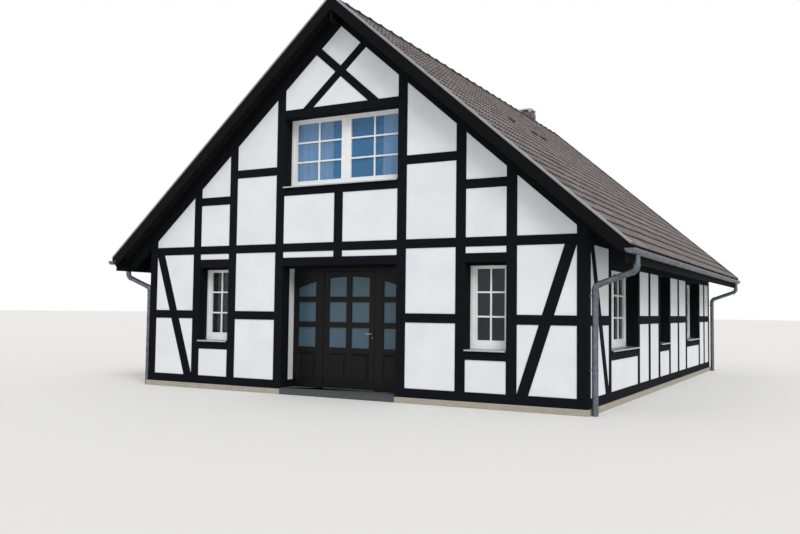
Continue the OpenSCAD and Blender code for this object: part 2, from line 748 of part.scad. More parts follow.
module lever(side) {
    translate([handle_x - handle_plate_w / 2, side > 0 ? 0 : -handle_plate_t,
               plinth_h + handle_z - handle_plate_h / 2])
        cube([handle_plate_w, handle_plate_t, handle_plate_h]);
    translate([handle_x, 0, plinth_h + handle_z]) rotate([-90 * side, 0, 0])
        cylinder(h = handle_reach + lever_r, r = lever_r);
    translate([handle_x - lever_l, side * handle_reach, plinth_h + handle_z]) rotate([0, 90, 0])
        cylinder(h = lever_l, r = lever_r);
}
module door_handle() color("silver") on_front() {
    translate([0, leaf_front, 0]) lever(-1);
    translate([0, leaf_back, 0]) lever(1);
}
// Each hinge: the frame carries the lower knuckle and its pin, the leaf carries the upper knuckle
module hinge_plate(x, y, z) translate([x, y, z]) cube([hinge_plate_w, hinge_plate_t, hinge_l / 2]);
module hinge_pins() color("silver") on_front() for (z = hinge_zs) {
    translate([hinge_x, hinge_y, z - hinge_l / 2]) cylinder(h = hinge_l / 2, r = knuckle_r);
    translate([hinge_x, hinge_y, z]) cylinder(h = hinge_l / 2, r = pin_r);
    hinge_plate(hinge_x - hinge_plate_w, door_set_d + door_frame_d, z - hinge_l / 2);
    translate([hinge_x - hinge_plate_t, door_set_d + door_frame_d, z - hinge_l / 2])
        cube([hinge_plate_t, hinge_y - door_set_d - door_frame_d, hinge_l / 2]);
}
module hinge_knuckles() color("silver") on_front() for (z = hinge_zs) {
    difference() {
        union() {
            translate([hinge_x, hinge_y, z + hinge_play])
                cylinder(h = hinge_l / 2 - hinge_play, r = knuckle_r);
            translate([leaf_left + mitre_gap, leaf_back, z + hinge_play])
                cube([hinge_plate_w, hinge_plate_t, hinge_l / 2 - hinge_play]);
            translate([leaf_left + mitre_gap, leaf_back, z + hinge_play])
                cube([hinge_plate_t, hinge_y - leaf_back, hinge_l / 2 - hinge_play]);
        }
        translate([hinge_x, hinge_y, z - hinge_l / 2]) cylinder(h = 2 * hinge_l, r = pin_r + hinge_play);
    }
}

module rafter_2d() difference() {
    slope_2d(rafter_apex, rafter_h, ridge_board_t / 2, tail_x);
    span(half_leaf, half_w, plate_top, plate_top + eaves_plate_h);
}
module rafter_row() for (i = [0 : rafter_count - 1]) translate([0, rafter_y(i) - rafter_w / 2, 0])
    upright(0, rafter_w) rafter_2d();
module rafters() color("saddlebrown") both_sides() rafter_row();
module ridge_board() color("saddlebrown") translate([-ridge_board_t / 2, -tile_end_y, 0])
    upright(0, 2 * tile_end_y) span(0, ridge_board_t, gable_foot_apex, at(rafter_apex, ridge_board_t / 2));
module eaves_plates() color([0.09, 0.09, 0.10]) both_sides() difference() {
    translate([0, timber_d - half_d, 0]) upright(0, house_d - 2 * timber_d) {
        span(half_leaf, half_w, plate_top, plate_top + eaves_plate_h);
        intersection() {
            span(half_w - timber_d / 2, half_w - timber_d / 2 + block_t, plate_top, ridge_h);
            gable_2d(rafter_apex, half_w);
        }
    }
    rafter_row();
}
module roof_band(apex, thick, x0, x1, y) translate([0, -y, 0]) upright(0, 2 * y)
    slope_2d(apex, thick, x0, x1);
module roof_boarding() color([0.12, 0.10, 0.09]) difference() {
    both_sides() roof_band(deck_apex, deck_t, deck_gap, deck_x, tile_end_y);
    chimney_room();
}
module roof_tiles() color([0.30, 0.27, 0.26]) difference() {
    both_sides() roof_band(ridge_h, tile_t, tile_gap, tile_x, tile_end_y);
    chimney_room();
}
// Upper half of a ring that rests on the tiles of both slopes
module ridge_tile_2d() difference() {
    translate([0, ridge_z]) difference() {
        circle(ridge_tile_r);
        circle(ridge_tile_r - ridge_tile_t);
    }
    span(-2 * ridge_tile_r, 2 * ridge_tile_r, 0, ridge_z);
    difference() {
        gable_2d(ridge_h + seat_gap, 2 * ridge_tile_r);
        span(-tile_gap, tile_gap, 0, 2 * ridge_h);
    }
}
module ridge_tiles() color([0.25, 0.22, 0.22]) translate([0, -tile_end_y, 0]) upright(0, 2 * tile_end_y)
    ridge_tile_2d();
// The foot of each barge board is cut clear of the gutter
module barge_boards() color([0.10, 0.09, 0.09]) both_gables() both_sides() translate([0, -barge_y, 0])
    upright(0, barge_t) difference() {
        slope_2d(ridge_h, barge_h, mitre_gap, tile_x);
        span(fascia_x, 2 * tile_x, 0, gutter_z + gutter_drop / 2);
    }
trim_apex = ridge_h + plumb(trim_t) + seat_gap;
module verge_trims() color("lightsteelblue") both_gables() both_sides() translate([0, -roof_y, 0]) {
    upright(0, trim_t) slope_2d(trim_apex, trim_h, mitre_gap, tile_x);
    upright(0, trim_t + barge_t) slope_2d(trim_apex, trim_t, mitre_gap, tile_x);
    upright(0, trim_flange_w) slope_2d(trim_apex, trim_t, ridge_tile_r + mitre_gap, tile_x);
}
module fascia_boards() color([0.10, 0.09, 0.09]) both_sides() translate([0, -tile_end_y, 0])
    upright(0, 2 * tile_end_y) slope_2d(rafter_apex, rafter_h, tail_x, fascia_x);

module gutter_outer(y0, y1, r) translate([gutter_x, y1, gutter_z]) rotate([90, 0, 0])
    cylinder(h = y1 - y0, r = r);
module gutters() color("silver") both_sides() difference() {
    gutter_outer(-gutter_y, gutter_y, gutter_r);
    gutter_outer(gutter_end_t - gutter_y, gutter_y - gutter_end_t, gutter_r - gutter_t);
    translate([gutter_x - 2 * gutter_r, -2 * gutter_y, gutter_z])
        cube([4 * gutter_r, 4 * gutter_y, 2 * gutter_r]);
}
module pipe_bend_part(x, z, turn) translate([x, 0, z]) rotate([0, turn, 0]) rotate([90, 0, 0])
    rotate_extrude(angle = pipe_bend) translate([pipe_bend_r, 0]) circle(pipe_r);
module pipe_clip(z) {
    translate([pipe_x, 0, z]) cylinder(h = socket_h, r = socket_r);
    translate([half_w, -clip_stem_w / 2, z]) cube([pipe_reach, clip_stem_w, clip_stem_w]);
}
// Socket round a joint of the pipe, turned with it
module pipe_joint(x, z, turn) translate([x, 0, z]) rotate([0, turn, 0])
    translate([0, 0, -socket_h / 2]) cylinder(h = socket_h, r = socket_r);
module downpipe() {
    difference() {
        translate([gutter_x, pipe_in - half_d, pipe_z]) cylinder(h = pipe_neck + gutter_r, r = pipe_r);
        gutter_outer(-gutter_y, gutter_y, gutter_r);
    }
    translate([0, pipe_in - half_d, 0]) {
        pipe_joint(gutter_x, pipe_z, 0);
        pipe_bend_part(gutter_x - pipe_bend_r, pipe_z, pipe_bend);
        translate([slope_x, 0, slope_z]) rotate([0, pipe_lean, 0]) cylinder(h = pipe_slope_l, r = pipe_r);
        pipe_joint(slope_x, slope_z, pipe_lean);
        pipe_joint(slope_x - pipe_slope_l * sin(pipe_bend), slope_z - pipe_slope_l * cos(pipe_bend),
                   pipe_lean);
        pipe_bend_part(pipe_x + pipe_bend_r, pipe_low_z, pipe_lean);
        pipe_joint(pipe_x, pipe_low_z, 0);
        translate([pipe_x, 0, 0]) cylinder(h = pipe_low_z, r = pipe_r);
        pipe_clip(clip_low_z);
        pipe_clip(clip_high_z);
    }
}
module downpipes() color("silver") both_gables() both_sides() downpipe();

module chimney() color("rosybrown") chimney_room();
module chimney_cap() color("silver") {
    for (sx = [-1, 1], sy = [-1, 1])
        translate([chimney_x + sx * (chimney_w - cap_leg_w) / 2, chimney_y + sy * (chimney_d - cap_leg_w) / 2,
                   chimney_top + cap_leg_h / 2])
            cube([cap_leg_w, cap_leg_w, cap_leg_h], center = true);
    translate([chimney_x, chimney_y, chimney_top + cap_leg_h + cap_t / 2])
        cube([chimney_w + 2 * cap_reach, chimney_d + 2 * cap_reach, cap_t], center = true);
}

plinth();
ground_floor();
upper_floor();
front_posts();
front_rails();
front_panels();
back_posts();
back_rails();
back_panels();
right_posts();
right_rails();
right_panels();
left_posts();
left_rails();
left_panels();
gable_braces();
side_braces();
gable_rafters();
gable_wall_piers();
gable_wall_bands();
side_wall_piers();
side_wall_bands();
reveal_boards();
front_windows();
back_windows();
right_windows();
left_windows();
window_glass();
window_sills();
door_step();
entrance_frame();
side_light_glass();
door_leaf();
door_glass();
door_handle();
hinge_pins();
hinge_knuckles();
rafters();
ridge_board();
eaves_plates();
roof_boarding();
roof_tiles();
ridge_tiles();
barge_boards();
verge_trims();
fascia_boards();
gutters();
downpipes();
chimney();
chimney_cap();
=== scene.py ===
import functools
import json
import math
import bpy
import bmesh
import numpy as np
from mathutils import Matrix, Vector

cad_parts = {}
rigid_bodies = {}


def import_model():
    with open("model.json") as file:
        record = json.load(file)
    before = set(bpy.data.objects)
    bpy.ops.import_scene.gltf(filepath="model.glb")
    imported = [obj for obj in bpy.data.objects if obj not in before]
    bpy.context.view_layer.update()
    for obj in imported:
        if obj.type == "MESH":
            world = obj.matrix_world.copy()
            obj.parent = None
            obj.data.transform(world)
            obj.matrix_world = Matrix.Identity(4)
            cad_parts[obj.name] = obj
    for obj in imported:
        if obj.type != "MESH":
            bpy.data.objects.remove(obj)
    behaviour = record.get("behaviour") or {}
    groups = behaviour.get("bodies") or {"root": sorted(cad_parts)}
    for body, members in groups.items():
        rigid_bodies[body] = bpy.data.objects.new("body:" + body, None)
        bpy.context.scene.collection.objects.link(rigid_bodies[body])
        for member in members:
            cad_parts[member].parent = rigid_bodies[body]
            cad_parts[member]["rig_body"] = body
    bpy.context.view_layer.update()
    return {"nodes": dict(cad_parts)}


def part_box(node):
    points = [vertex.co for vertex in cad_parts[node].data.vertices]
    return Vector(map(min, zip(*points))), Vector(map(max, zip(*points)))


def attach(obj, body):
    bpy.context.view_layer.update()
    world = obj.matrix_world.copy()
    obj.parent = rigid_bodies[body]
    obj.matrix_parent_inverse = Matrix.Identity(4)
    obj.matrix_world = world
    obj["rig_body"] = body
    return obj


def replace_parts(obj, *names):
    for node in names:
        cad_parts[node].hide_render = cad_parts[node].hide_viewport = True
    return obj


# Half timbered house: the finish of every piece, fitted round the fixed frame. Metres, Z up.
# The front gable faces -Y, the ridge runs along Y over X = 0, and the ground is Z = 0.
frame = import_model()
nodes = frame["nodes"]
draw = np.random.default_rng(41)
print("frame loaded:", len(nodes), "nodes")


# Camera: 1.6 m above the ground, to the right of the entrance, and turned to the left
cameraSettings = {
    "place": (8.402, -19.242, 1.621),
    "turn": 28.717,     # degrees to the left of +Y
    "pitch": 3.071,     # degrees above level
    "roll": 0.703,
    "lens": 37.03,      # mm
    "sensor": 36,       # mm across
    "farthest": 500,    # metres
}


def makeCamera(c):
    data = bpy.data.cameras.new("photoCamera")
    data.sensor_fit = "HORIZONTAL"
    data.sensor_width = c["sensor"]
    data.lens = c["lens"]
    data.clip_end = c["farthest"]
    camera = bpy.data.objects.new("photoCamera", data)
    turn = Matrix.Rotation(math.radians(c["turn"]), 4, "Z")
    tilt = Matrix.Rotation(math.radians(90 + c["pitch"]), 4, "X")
    roll = Matrix.Rotation(math.radians(c["roll"]), 4, "Z")
    camera.matrix_world = Matrix.Translation(c["place"]) @ turn @ tilt @ roll
    bpy.context.scene.collection.objects.link(camera)
    bpy.context.scene.camera = camera


makeCamera(cameraSettings)
print("camera placed")


# Materials

def linear(hexColour):
    # an sRGB hex colour, turned linear
    channels = [int(hexColour[i:i + 2], 16) / 255 for i in (1, 3, 5)]
    return [c / 12.92 if c <= 0.04045 else ((c + 0.055) / 1.055) ** 2.4 for c in channels] + [1.0]


def perMetre(millimetres):
    # texture scale that gives features of this size, on coordinates in metres
    return 1000 / millimetres


def addNode(tree, kind, inputs=None, **settings):
    # one shader node: a node or a socket in inputs is linked, a hex colour is turned linear, and anything
    # else is the socket's value
    node = tree.nodes.new("ShaderNode" + kind)
    for name, value in settings.items():
        setattr(node, name, value)
    for key, value in (inputs or {}).items():
        socket = node.inputs[key] if isinstance(key, int) else next(
            s for s in node.inputs if s.name == key and s.enabled)
        if isinstance(value, bpy.types.Node):
            value = next(s for s in value.outputs if s.enabled)
        if isinstance(value, bpy.types.NodeSocket):
            tree.links.new(value, socket)
        else:
            socket.default_value = linear(value) if isinstance(value, str) else value
    return node


def emptyTree(owner):
    # clears the nodes of a material or a world, and returns addNode for its tree
    owner.use_nodes = True
    owner.node_tree.nodes.clear()
    return functools.partial(addNode, owner.node_tree)


def startMaterial(name, attribute=None):
    # the material, addNode for its tree, and the coordinates: the object's own, or those in an attribute
    material = bpy.data.materials.new(name)
    add = emptyTree(material)
    if attribute:
        return material, add, add("Attribute", attribute_name=attribute).outputs["Vector"]
    return material, add, add("TexCoord").outputs["Object"]


def endMaterial(material, add, surface):
    add("OutputMaterial", {"Surface": add("BsdfPrincipled", surface)})
    return material


def mottled(add, place, size, one, other, low, high, most=1.0, detail=4, roughness=0.5):
    # Patches of about this size in mm: where the noise rises from low to high, one colour turns into up to
    # the most of the other. Returns the colour, and the noise for what else follows the patches.
    noise = add("TexNoise", {"Vector": place, "Scale": perMetre(size), "Detail": detail,
                             "Roughness": roughness})
    share = add("MapRange", {"Value": noise, "From Min": low, "From Max": high, "To Max": most})
    return add("Mix", {"Factor": share, "A": one, "B": other}, data_type="RGBA"), noise


def makeWood(name, dark, light, drift, fibre, roughness, relief, shine=0.3, outside=None):
    # Fibres follow the piece's own "grain" attribute, whose x runs along the piece in metres.
    # Noise stretched 30 times along x draws the streaks, a coarser one the slow drift of colour in each
    # beam, and a narrow band of a third one the long season checks. A colour for outside is used on what
    # lies past the walls' outer faces.
    material, add, grain = startMaterial(name, "grain")
    tone = add("Attribute", attribute_name="tone").outputs["Fac"]
    along = add("Mapping", {"Vector": grain, "Scale": (1 / 30, 1, 1)})
    streaked, fibres = mottled(add, along, fibre, dark, light, 0.3, 0.72, detail=5, roughness=0.65)
    drifted = mottled(add, along, fibre * 12, streaked, drift, 0.45, 0.75, 0.6, detail=2)[0]
    bright = add("MapRange", {"Value": tone, "To Min": 0.88, "To Max": 1.12})
    toned = add("HueSaturation", {"Color": drifted, "Value": bright})
    if outside:
        place = add("SeparateXYZ", {0: add("TexCoord").outputs["Object"]})
        past = []
        for socket, face in zip(place.outputs, wallFace):
            reach = add("Math", {0: socket}, operation="ABSOLUTE")
            past.append(add("Math", {0: reach, 1: face}, operation="GREATER_THAN"))
        mask = add("Math", {0: past[0], 1: past[1]}, operation="MAXIMUM")
        toned = add("Mix", {"Factor": mask, "A": toned, "B": outside}, data_type="RGBA")
    long = add("Mapping", {"Vector": grain, "Scale": (1 / 60, 1, 1)})
    checks = add("TexNoise", {"Vector": long, "Scale": perMetre(fibre * 5), "Detail": 1})
    checkLine = add("MapRange", {"Value": checks, "From Min": 0.32, "From Max": 0.34})
    height = add("Math", {0: fibres, 1: checkLine}, operation="MULTIPLY")
    bump = add("Bump", {"Height": height, "Strength": relief, "Distance": 0.003})
    low, high = roughness - 0.08, roughness + 0.1
    gloss = add("MapRange", {"Value": fibres, "To Min": low, "To Max": high})
    return endMaterial(material, add, {"Base Color": toned, "Roughness": gloss, "Normal": bump,
                                       "Specular IOR Level": shine})


wallX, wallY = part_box("right_posts")[1].x, -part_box("front_posts")[0].y    # outer faces of the walls
outsideColourSink = 0.01      # the colour for outside begins this deep behind the outer faces
wallFace = (wallX - outsideColourSink, wallY - outsideColourSink)
# Planed spruce beams under a black stain: near black with a cold tint, the grain just reads through.
# The stain is matt, so that it mirrors little of a bright surround at a grazing view.
blackTimber = makeWood("blackStainedTimber", "#0b0d11", "#191c22", "#12151a", 5, 0.85, 0.35, 0.05)
# Spruce boards under a dark brown glaze: barge boards, linings and fascias, a little warmer than the beams
darkBoard = makeWood("darkGlazedBoard", "#0e0e0f", "#1c1a1b", "#141415", 4, 0.82, 0.3, 0.05)
# Spruce roof boards under an older umber glaze, seen from below at the verges and eaves
umberBoard = makeWood("umberGlazedBoard", "#191412", "#27201c", "#1e1916", 5, 0.85, 0.4, 0.05)
# Sawn spruce roof timber: honey coloured and rough from the saw, and near black past the walls
sawnSpruce = makeWood("sawnSpruce", "#a87f51", "#d0aa76", "#b98f5f", 6, 0.82, 0.6, 0.1, "#0e0c0c")
# Oak door set under dark brown glaze, two coats: deep colour, fine pores, satin
doorOak = makeWood("glazedDoorOak", "#070707", "#100e0e", "#0b0a0a", 2.5, 0.5, 0.25, 0.2)


def makeRender(name, colour, shadow, grit, relief):
    # Lime cement render, felt floated and painted: flat white, with grit of a millimetre or two that is
    # drawn a little coarser so that it shows, and faint clouds where the float dwelt.
    material, add, place = startMaterial(name)
    grains = add("TexNoise", {"Vector": place, "Scale": perMetre(grit), "Detail": 3})
    waves = add("TexNoise", {"Vector": place, "Scale": perMetre(260), "Detail": 2})
    tinted = mottled(add, place, 700, colour, shadow, 0.35, 0.7, roughness=0.6)[0]
    fine = add("Bump", {"Height": grains, "Strength": relief, "Distance": 0.0015})
    broad = add("Bump", {"Height": waves, "Strength": 0.25, "Distance": 0.004, "Normal": fine})
    return endMaterial(material, add, {"Base Color": tinted, "Roughness": 0.9, "Normal": broad})


whiteRender = makeRender("whitePaintedRender", "#e9ecf0", "#dfe3e8", 4, 0.5)
roomPlaster = makeRender("smoothRoomPlaster", "#dadcdf", "#d0d2d5", 9, 0.15)
floorScreed = makeRender("floorScreed", "#a8a59d", "#96938b", 6, 0.3)


def makeLacquer(name, colour, shade, roughness):
    # Sprayed white lacquer on wood or plastic profiles: even and silky, with a slight orange peel
    material, add, place = startMaterial(name)
    peel = add("TexNoise", {"Vector": place, "Scale": perMetre(6), "Detail": 2})
    tinted = mottled(add, place, 180, colour, shade, 0.4, 0.75)[0]
    bump = add("Bump", {"Height": peel, "Strength": 0.12, "Distance": 0.0006})
    return endMaterial(material, add, {"Base Color": tinted, "Roughness": roughness, "Normal": bump})


whiteLacquer = makeLacquer("whiteWindowLacquer", "#f1f2f3", "#e6e8ea", 0.3)
trimCoating = makeLacquer("coilCoatedTrim", "#91949b", "#84888f", 0.45)


def makeMetal(name, bright, dull, bloom, roughness, rub):
    # Bare sheet metal: zinc weathers to a soft grey bloom in patches, with fine rolling marks along Y
    material, add, place = startMaterial(name)
    tinted, patches = mottled(add, place, bloom, bright, dull, 0.35, 0.7, detail=5, roughness=0.6)
    marks = add("Mapping", {"Vector": place, "Scale": (1, 1 / 40, 1)})
    rolled = add("TexNoise", {"Vector": marks, "Scale": perMetre(rub), "Detail": 2})
    low, high = roughness - 0.12, roughness + 0.15
    gloss = add("MapRange", {"Value": patches, "To Min": low, "To Max": high})
    bump = add("Bump", {"Height": rolled, "Strength": 0.08, "Distance": 0.0005})
    return endMaterial(material, add, {"Base Color": tinted, "Metallic": 1.0, "Roughness": gloss,
                                       "Normal": bump})


zinc = makeMetal("weatheredZinc", "#757c85", "#5b626b", 90, 0.5, 3)
galvanisedSteel = makeMetal("galvanisedSteel", "#d3d6da", "#b9bdc2", 60, 0.55, 4)
lead = makeMetal("milledLead", "#9a9ea4", "#787d84", 60, 0.6, 8)
darkBronze = makeMetal("burnishedBronze", "#3a3532", "#2a2725", 30, 0.5, 1)
sillMetal = makeMetal("anodisedSill", "#c6c8ca", "#b2b5b8", 120, 0.35, 2)
handleSteel = makeMetal("brushedStainlessSteel", "#c9c8c5", "#b9b8b5", 40, 0.28, 0.8)


def makeTile(name, colour, light, dark, roughness):
    # Pressed clay or concrete roof tile with a matt engobe: brown grey, each tile fired a little
    # differently ("tone"), sandy grain of about 3 mm drawn at 7 so that it shows, a paler dusting, and
    # painted shade ("shade"): darker under each next butt and on the butts themselves
    material, add, place = startMaterial(name)
    tone = add("Attribute", attribute_name="tone").outputs["Fac"]
    sand = add("TexNoise", {"Vector": place, "Scale": perMetre(7), "Detail": 4, "Roughness": 0.7})
    dusty = mottled(add, place, 140, colour, light, 0.42, 0.72)[0]
    stained = mottled(add, place, 1500, dusty, dark, 0.5, 0.8, 0.5, detail=3)[0]
    speck = add("MapRange", {"Value": sand, "From Min": 0.3, "From Max": 0.7, "To Min": 0.82, "To Max": 1.15})
    fired = add("MapRange", {"Value": tone, "To Min": 0.78, "To Max": 1.18})
    value = add("Math", {0: speck, 1: fired}, operation="MULTIPLY")
    toned = add("HueSaturation", {"Color": stained, "Value": value})
    shade = add("Attribute", attribute_name="shade").outputs["Fac"]
    # painted shade: the colour turns towards near black where the shade attribute rises, under each butt and
    # on the butts
    withPaintedShade = add("Mix", {"Factor": shade, "A": toned, "B": "#1d1a18"}, data_type="RGBA")
    bump = add("Bump", {"Height": sand, "Strength": 0.5, "Distance": 0.0015})
    return endMaterial(material, add, {"Base Color": withPaintedShade, "Roughness": roughness, "Normal": bump,
                                       "Specular IOR Level": 0.2})


roofTileWithPaintedShade = makeTile("engobedRoofTilePaintedShade", "#78706e", "#8c8480", "#5c5554", 0.85)
# Ridge tiles near black: painted shade for the shaded side of the ridge
ridgeTileWithPaintedShade = makeTile("engobedRidgeTilePaintedShade", "#2a2727", "#353131", "#1e1b1b", 0.8)
slateCladding = makeTile("fibreCementSlate", "#655c5f", "#7b7276", "#463f41", 0.7)


def makeStone(name, base, pale, dark, speck, roughness, relief):
    # Sawn or flamed stone: crystals of a few millimetres in three tones, with a slow cloud over them
    material, add, place = startMaterial(name)
    crystals = add("TexVoronoi", {"Vector": place, "Scale": perMetre(speck)}).outputs["Color"]
    pick = add("SeparateColor", {"Color": crystals})
    clouds = add("TexNoise", {"Vector": place, "Scale": perMetre(220), "Detail": 5})
    white = add("MapRange", {"Value": pick, "From Min": 0.62, "From Max": 0.8})
    black = add("MapRange", {"Value": pick.outputs[1], "From Min": 0.8, "From Max": 0.9, "To Max": 0.8})
    spotted = add("Mix", {"Factor": white, "A": base, "B": pale}, data_type="RGBA")
    grained = add("Mix", {"Factor": black, "A": spotted, "B": dark}, data_type="RGBA")
    value = add("MapRange", {"Value": clouds, "To Min": 0.85, "To Max": 1.15})
    toned = add("HueSaturation", {"Color": grained, "Value": value})
    bump = add("Bump", {"Height": pick, "Strength": relief, "Distance": 0.001})
    return endMaterial(material, add, {"Base Color": toned, "Roughness": roughness, "Normal": bump})


plinthStone = makeStone("sawnSandstone", "#a39d90", "#b4aea1", "#8a8478", 9, 0.9, 0.4)
stepStone = makeStone("flamedGranite", "#444549", "#5c5e62", "#28292b", 7, 0.75, 0.5)


def makeGlass(name, colour, alpha, roughness, ripple):
    # Float glass, partly see-through so that the dark rooms show, and it mirrors the pale surroundings
    material, add, place = startMaterial(name)
    swell = add("TexNoise", {"Vector": place, "Scale": perMetre(ripple), "Detail": 1})
    bump = add("Bump", {"Height": swell, "Strength": 0.1, "Distance": 0.001})
    return endMaterial(material, add, {"Base Color": colour, "Alpha": alpha, "Roughness": roughness,
                                       "Normal": bump, "IOR": 1.52})


# The panes downstairs: a dark, mostly opaque base colour paints in the shade of dark rooms and the reflection
# of dark surroundings
paintedDarkPanes = makeGlass("groundGlassPaintedDark", "#16242b", 0.70, 0.03, 400)
# The panes upstairs: a blue base colour paints in the reflection of a blue sky
paintedSkyPanes = makeGlass("upperGlassPaintedSky", "#4a90c8", 0.40, 0.03, 400)
frostedGlass = makeGlass("satinatedGlass", "#3c5666", 0.94, 0.35, 12)


def makeVoile(name, colour, shade, thread):
    # Polyester voile of net curtains: thin white threads, drawn about ten times too coarse so that the
    # weave shows close by. A little of the dark room shows through.
    material, add, cloth = startMaterial(name, "cloth")
    bands = perMetre(thread) / 6.3      # each band holds one thread and one gap, both of this width
    weave = [add("TexWave", {"Vector": cloth, "Scale": bands}, bands_direction=way) for way in "XY"]
    crossed = add("Math", {0: weave[0], 1: weave[1]}, operation="MULTIPLY")
    tinted = mottled(add, cloth, 30, colour, shade, 0.3, 0.7, detail=3)[0]
    bump = add("Bump", {"Height": crossed, "Strength": 0.3, "Distance": 0.0006})
    return endMaterial(material, add, {"Base Color": tinted, "Alpha": 0.95, "Roughness": 0.95,
                                       "Normal": bump, "Specular IOR Level": 0.1})


whiteVoile = makeVoile("polyesterVoile", "#f6f7f8", "#e9ebee", 4)
print("materials made")


# Copies of frame nodes with eased edges

def islandOf(count, edges):
    # label of the island that each vertex belongs to: the smallest index spreads along the edges
    label = np.arange(count)
    while True:
        before = label.copy()
        low = np.minimum(label[edges[:, 0]], label[edges[:, 1]])
        np.minimum.at(label, edges[:, 0], low)
        np.minimum.at(label, edges[:, 1], low)
        label = label[label]
        if (label == before).all():
            return np.unique(label, return_inverse=True)[1]


def addGrain(mesh, direction):
    # Writes "grain" and "tone": x along the piece, y and z across it, shifted by chance from piece to
    # piece so that no two show the same streaks. Without a direction the longest axis of each is taken.
    points = np.empty(len(mesh.vertices) * 3)
    mesh.vertices.foreach_get("co", points)
    points = points.reshape(-1, 3)
    edges = np.empty(len(mesh.edges) * 2, int)
    mesh.edges.foreach_get("vertices", edges)
    label = islandOf(len(points), edges.reshape(-1, 2))
    grain = np.zeros_like(points)
    for island in range(label.max() + 1):
        own = label == island
        middle = points[own].mean(0)
        axes = np.linalg.svd(points[own] - middle, full_matrices=False)[2]
        if direction is not None:
            axes = np.roll(np.eye(3), -direction, axis=0)
        grain[own] = (points[own] - middle) @ axes.T + draw.uniform(-40, 40, 3)
    tone = draw.uniform(0, 1, label.max() + 1)[label]
    mesh.attributes.new("grain", "FLOAT_VECTOR", "POINT").data.foreach_set("vector", grain.ravel())
    mesh.attributes.new("tone", "FLOAT", "POINT").data.foreach_set("value", tone)


def pieceName(node):
    first, *rest = node.split("_")
    return first + "".join(word.capitalize() for word in rest)


def placePiece(name, mesh, material, body):
    mesh.materials.append(material)
    piece = bpy.data.objects.new(name, mesh)
    bpy.context.scene.collection.objects.link(piece)
    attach(piece, body)
    return piece


def dressNode(node, material, slot, ease, direction=None, storey=None):
    # A merged copy of the node, its edges eased by a bevel, stands for it. A storey has a name, and the
    # lowest and the highest Z of what the copy keeps of the node.
    part, low, high = storey or ("", -math.inf, math.inf)
    name = pieceName(node) + part
    shape = bmesh.new()
    shape.from_mesh(nodes[node].data)
    bmesh.ops.remove_doubles(shape, verts=shape.verts, dist=1e-5)
    others = [v for v in shape.verts if not low < v.co.z < high]
    bmesh.ops.delete(shape, geom=others, context="VERTS")
    bmesh.ops.dissolve_limit(shape, angle_limit=math.radians(0.5), verts=shape.verts, edges=shape.edges)
    mesh = bpy.data.meshes.new(name)
    shape.to_mesh(mesh)
    shape.free()
    if mesh.attributes.get("custom_normal"):
        mesh.attributes.remove(mesh.attributes["custom_normal"])
    mesh.materials.clear()
    addGrain(mesh, direction)
    piece = placePiece(name, mesh, material, nodes[node]["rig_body"])
    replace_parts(piece, node)
    bevel = piece.modifiers.new("easedEdges", "BEVEL")
    bevel.width = ease
    bevel.segments = 2
    bevel.limit_method = "ANGLE"
    bevel.angle_limit = math.radians(30)
    bevel.use_clamp_overlap = False


def everyWall(kind):
    return [side + kind for side in ("front_", "back_", "right_", "left_")]


across, inward, upright = 0, 1, 2     # grain directions: along X, along Y and along Z
dressing = [      # nodes, material, slot, width of the eased edges, grain and storey
    (everyWall("posts"), blackTimber, "dark_timber", 0.005, upright),
    (["front_rails", "back_rails"], blackTimber, "dark_timber", 0.005, across),
    (["right_rails", "left_rails"], blackTimber, "dark_timber", 0.005, inward),
    (["gable_braces", "side_braces", "gable_rafters"], blackTimber, "dark_timber", 0.005),
    (["barge_boards", "fascia_boards"], darkBoard, "dark_boards", 0.003),
    (["reveal_boards"], darkBoard, "dark_boards", 0.003, upright),
    (["eaves_plates"], darkBoard, "dark_timber", 0.003, inward),
    (["rafters"], sawnSpruce, "rafter_timber", 0.003),
    (["ridge_board"], sawnSpruce, "rafter_timber", 0.003, inward),
    (["upper_floor"], sawnSpruce, "floor_boards", 0.003, inward),
    (everyWall("panels"), whiteRender, "white_plaster", 0.006),
    (["gable_wall_piers", "gable_wall_bands"], roomPlaster, "wall_plaster", 0.003),
    (["side_wall_piers", "side_wall_bands"], roomPlaster, "wall_plaster", 0.003),
    (["ground_floor"], floorScreed, "floor_slab", 0.003),
    (["door_step"], stepStone, "step_stone", 0.003),
    (everyWall("windows"), whiteLacquer, "white_frames", 0.003),
    # each storey's glass carries its own painted reflection
    (["window_glass"], paintedDarkPanes, "window_glass", 0.001, None, ("Ground", 0, 3)),
    (["window_glass"], paintedSkyPanes, "window_glass", 0.001, None, ("Upper", 3, 6)),
    (["window_sills"], sillMetal, "sill_metal", 0.001),
    (["entrance_frame", "door_leaf"], doorOak, "door_timber", 0.003, upright),
    (["side_light_glass", "door_glass"], frostedGlass, "frosted_glass", 0.001),
    (["hinge_pins", "hinge_knuckles"], handleSteel, "handle_steel", 0.0008),
    (["verge_trims"], trimCoating, "trim_metal", 0.0015),
    (["chimney"], slateCladding, "chimney_brick", 0.003),
    (["chimney_cap"], galvanisedSteel, "cap_metal", 0.002),
]
for names, *finish in dressing:
    for node in names:
        dressNode(node, *finish)
print("frame nodes dressed")


# Surfaces worked out as whole arrays

def gridFaces(rows, columns, closeRows=False, closeColumns=False):
    # four cornered faces between neighbouring points of a rows x columns grid
    r, c = np.indices((rows - (not closeRows), columns - (not closeColumns)))
    rNext, cNext = (r + 1) % rows, (c + 1) % columns
    corners = (r * columns + c, r * columns + cNext, rNext * columns + cNext, rNext * columns + c)
    return np.stack(corners, -1).reshape(-1, 4)


def repeated(faces, count, size):
    # the same faces on each of count copies of a shape that has size points
    return (faces[None] + np.arange(count)[:, None, None] * size).reshape(-1, faces.shape[1])


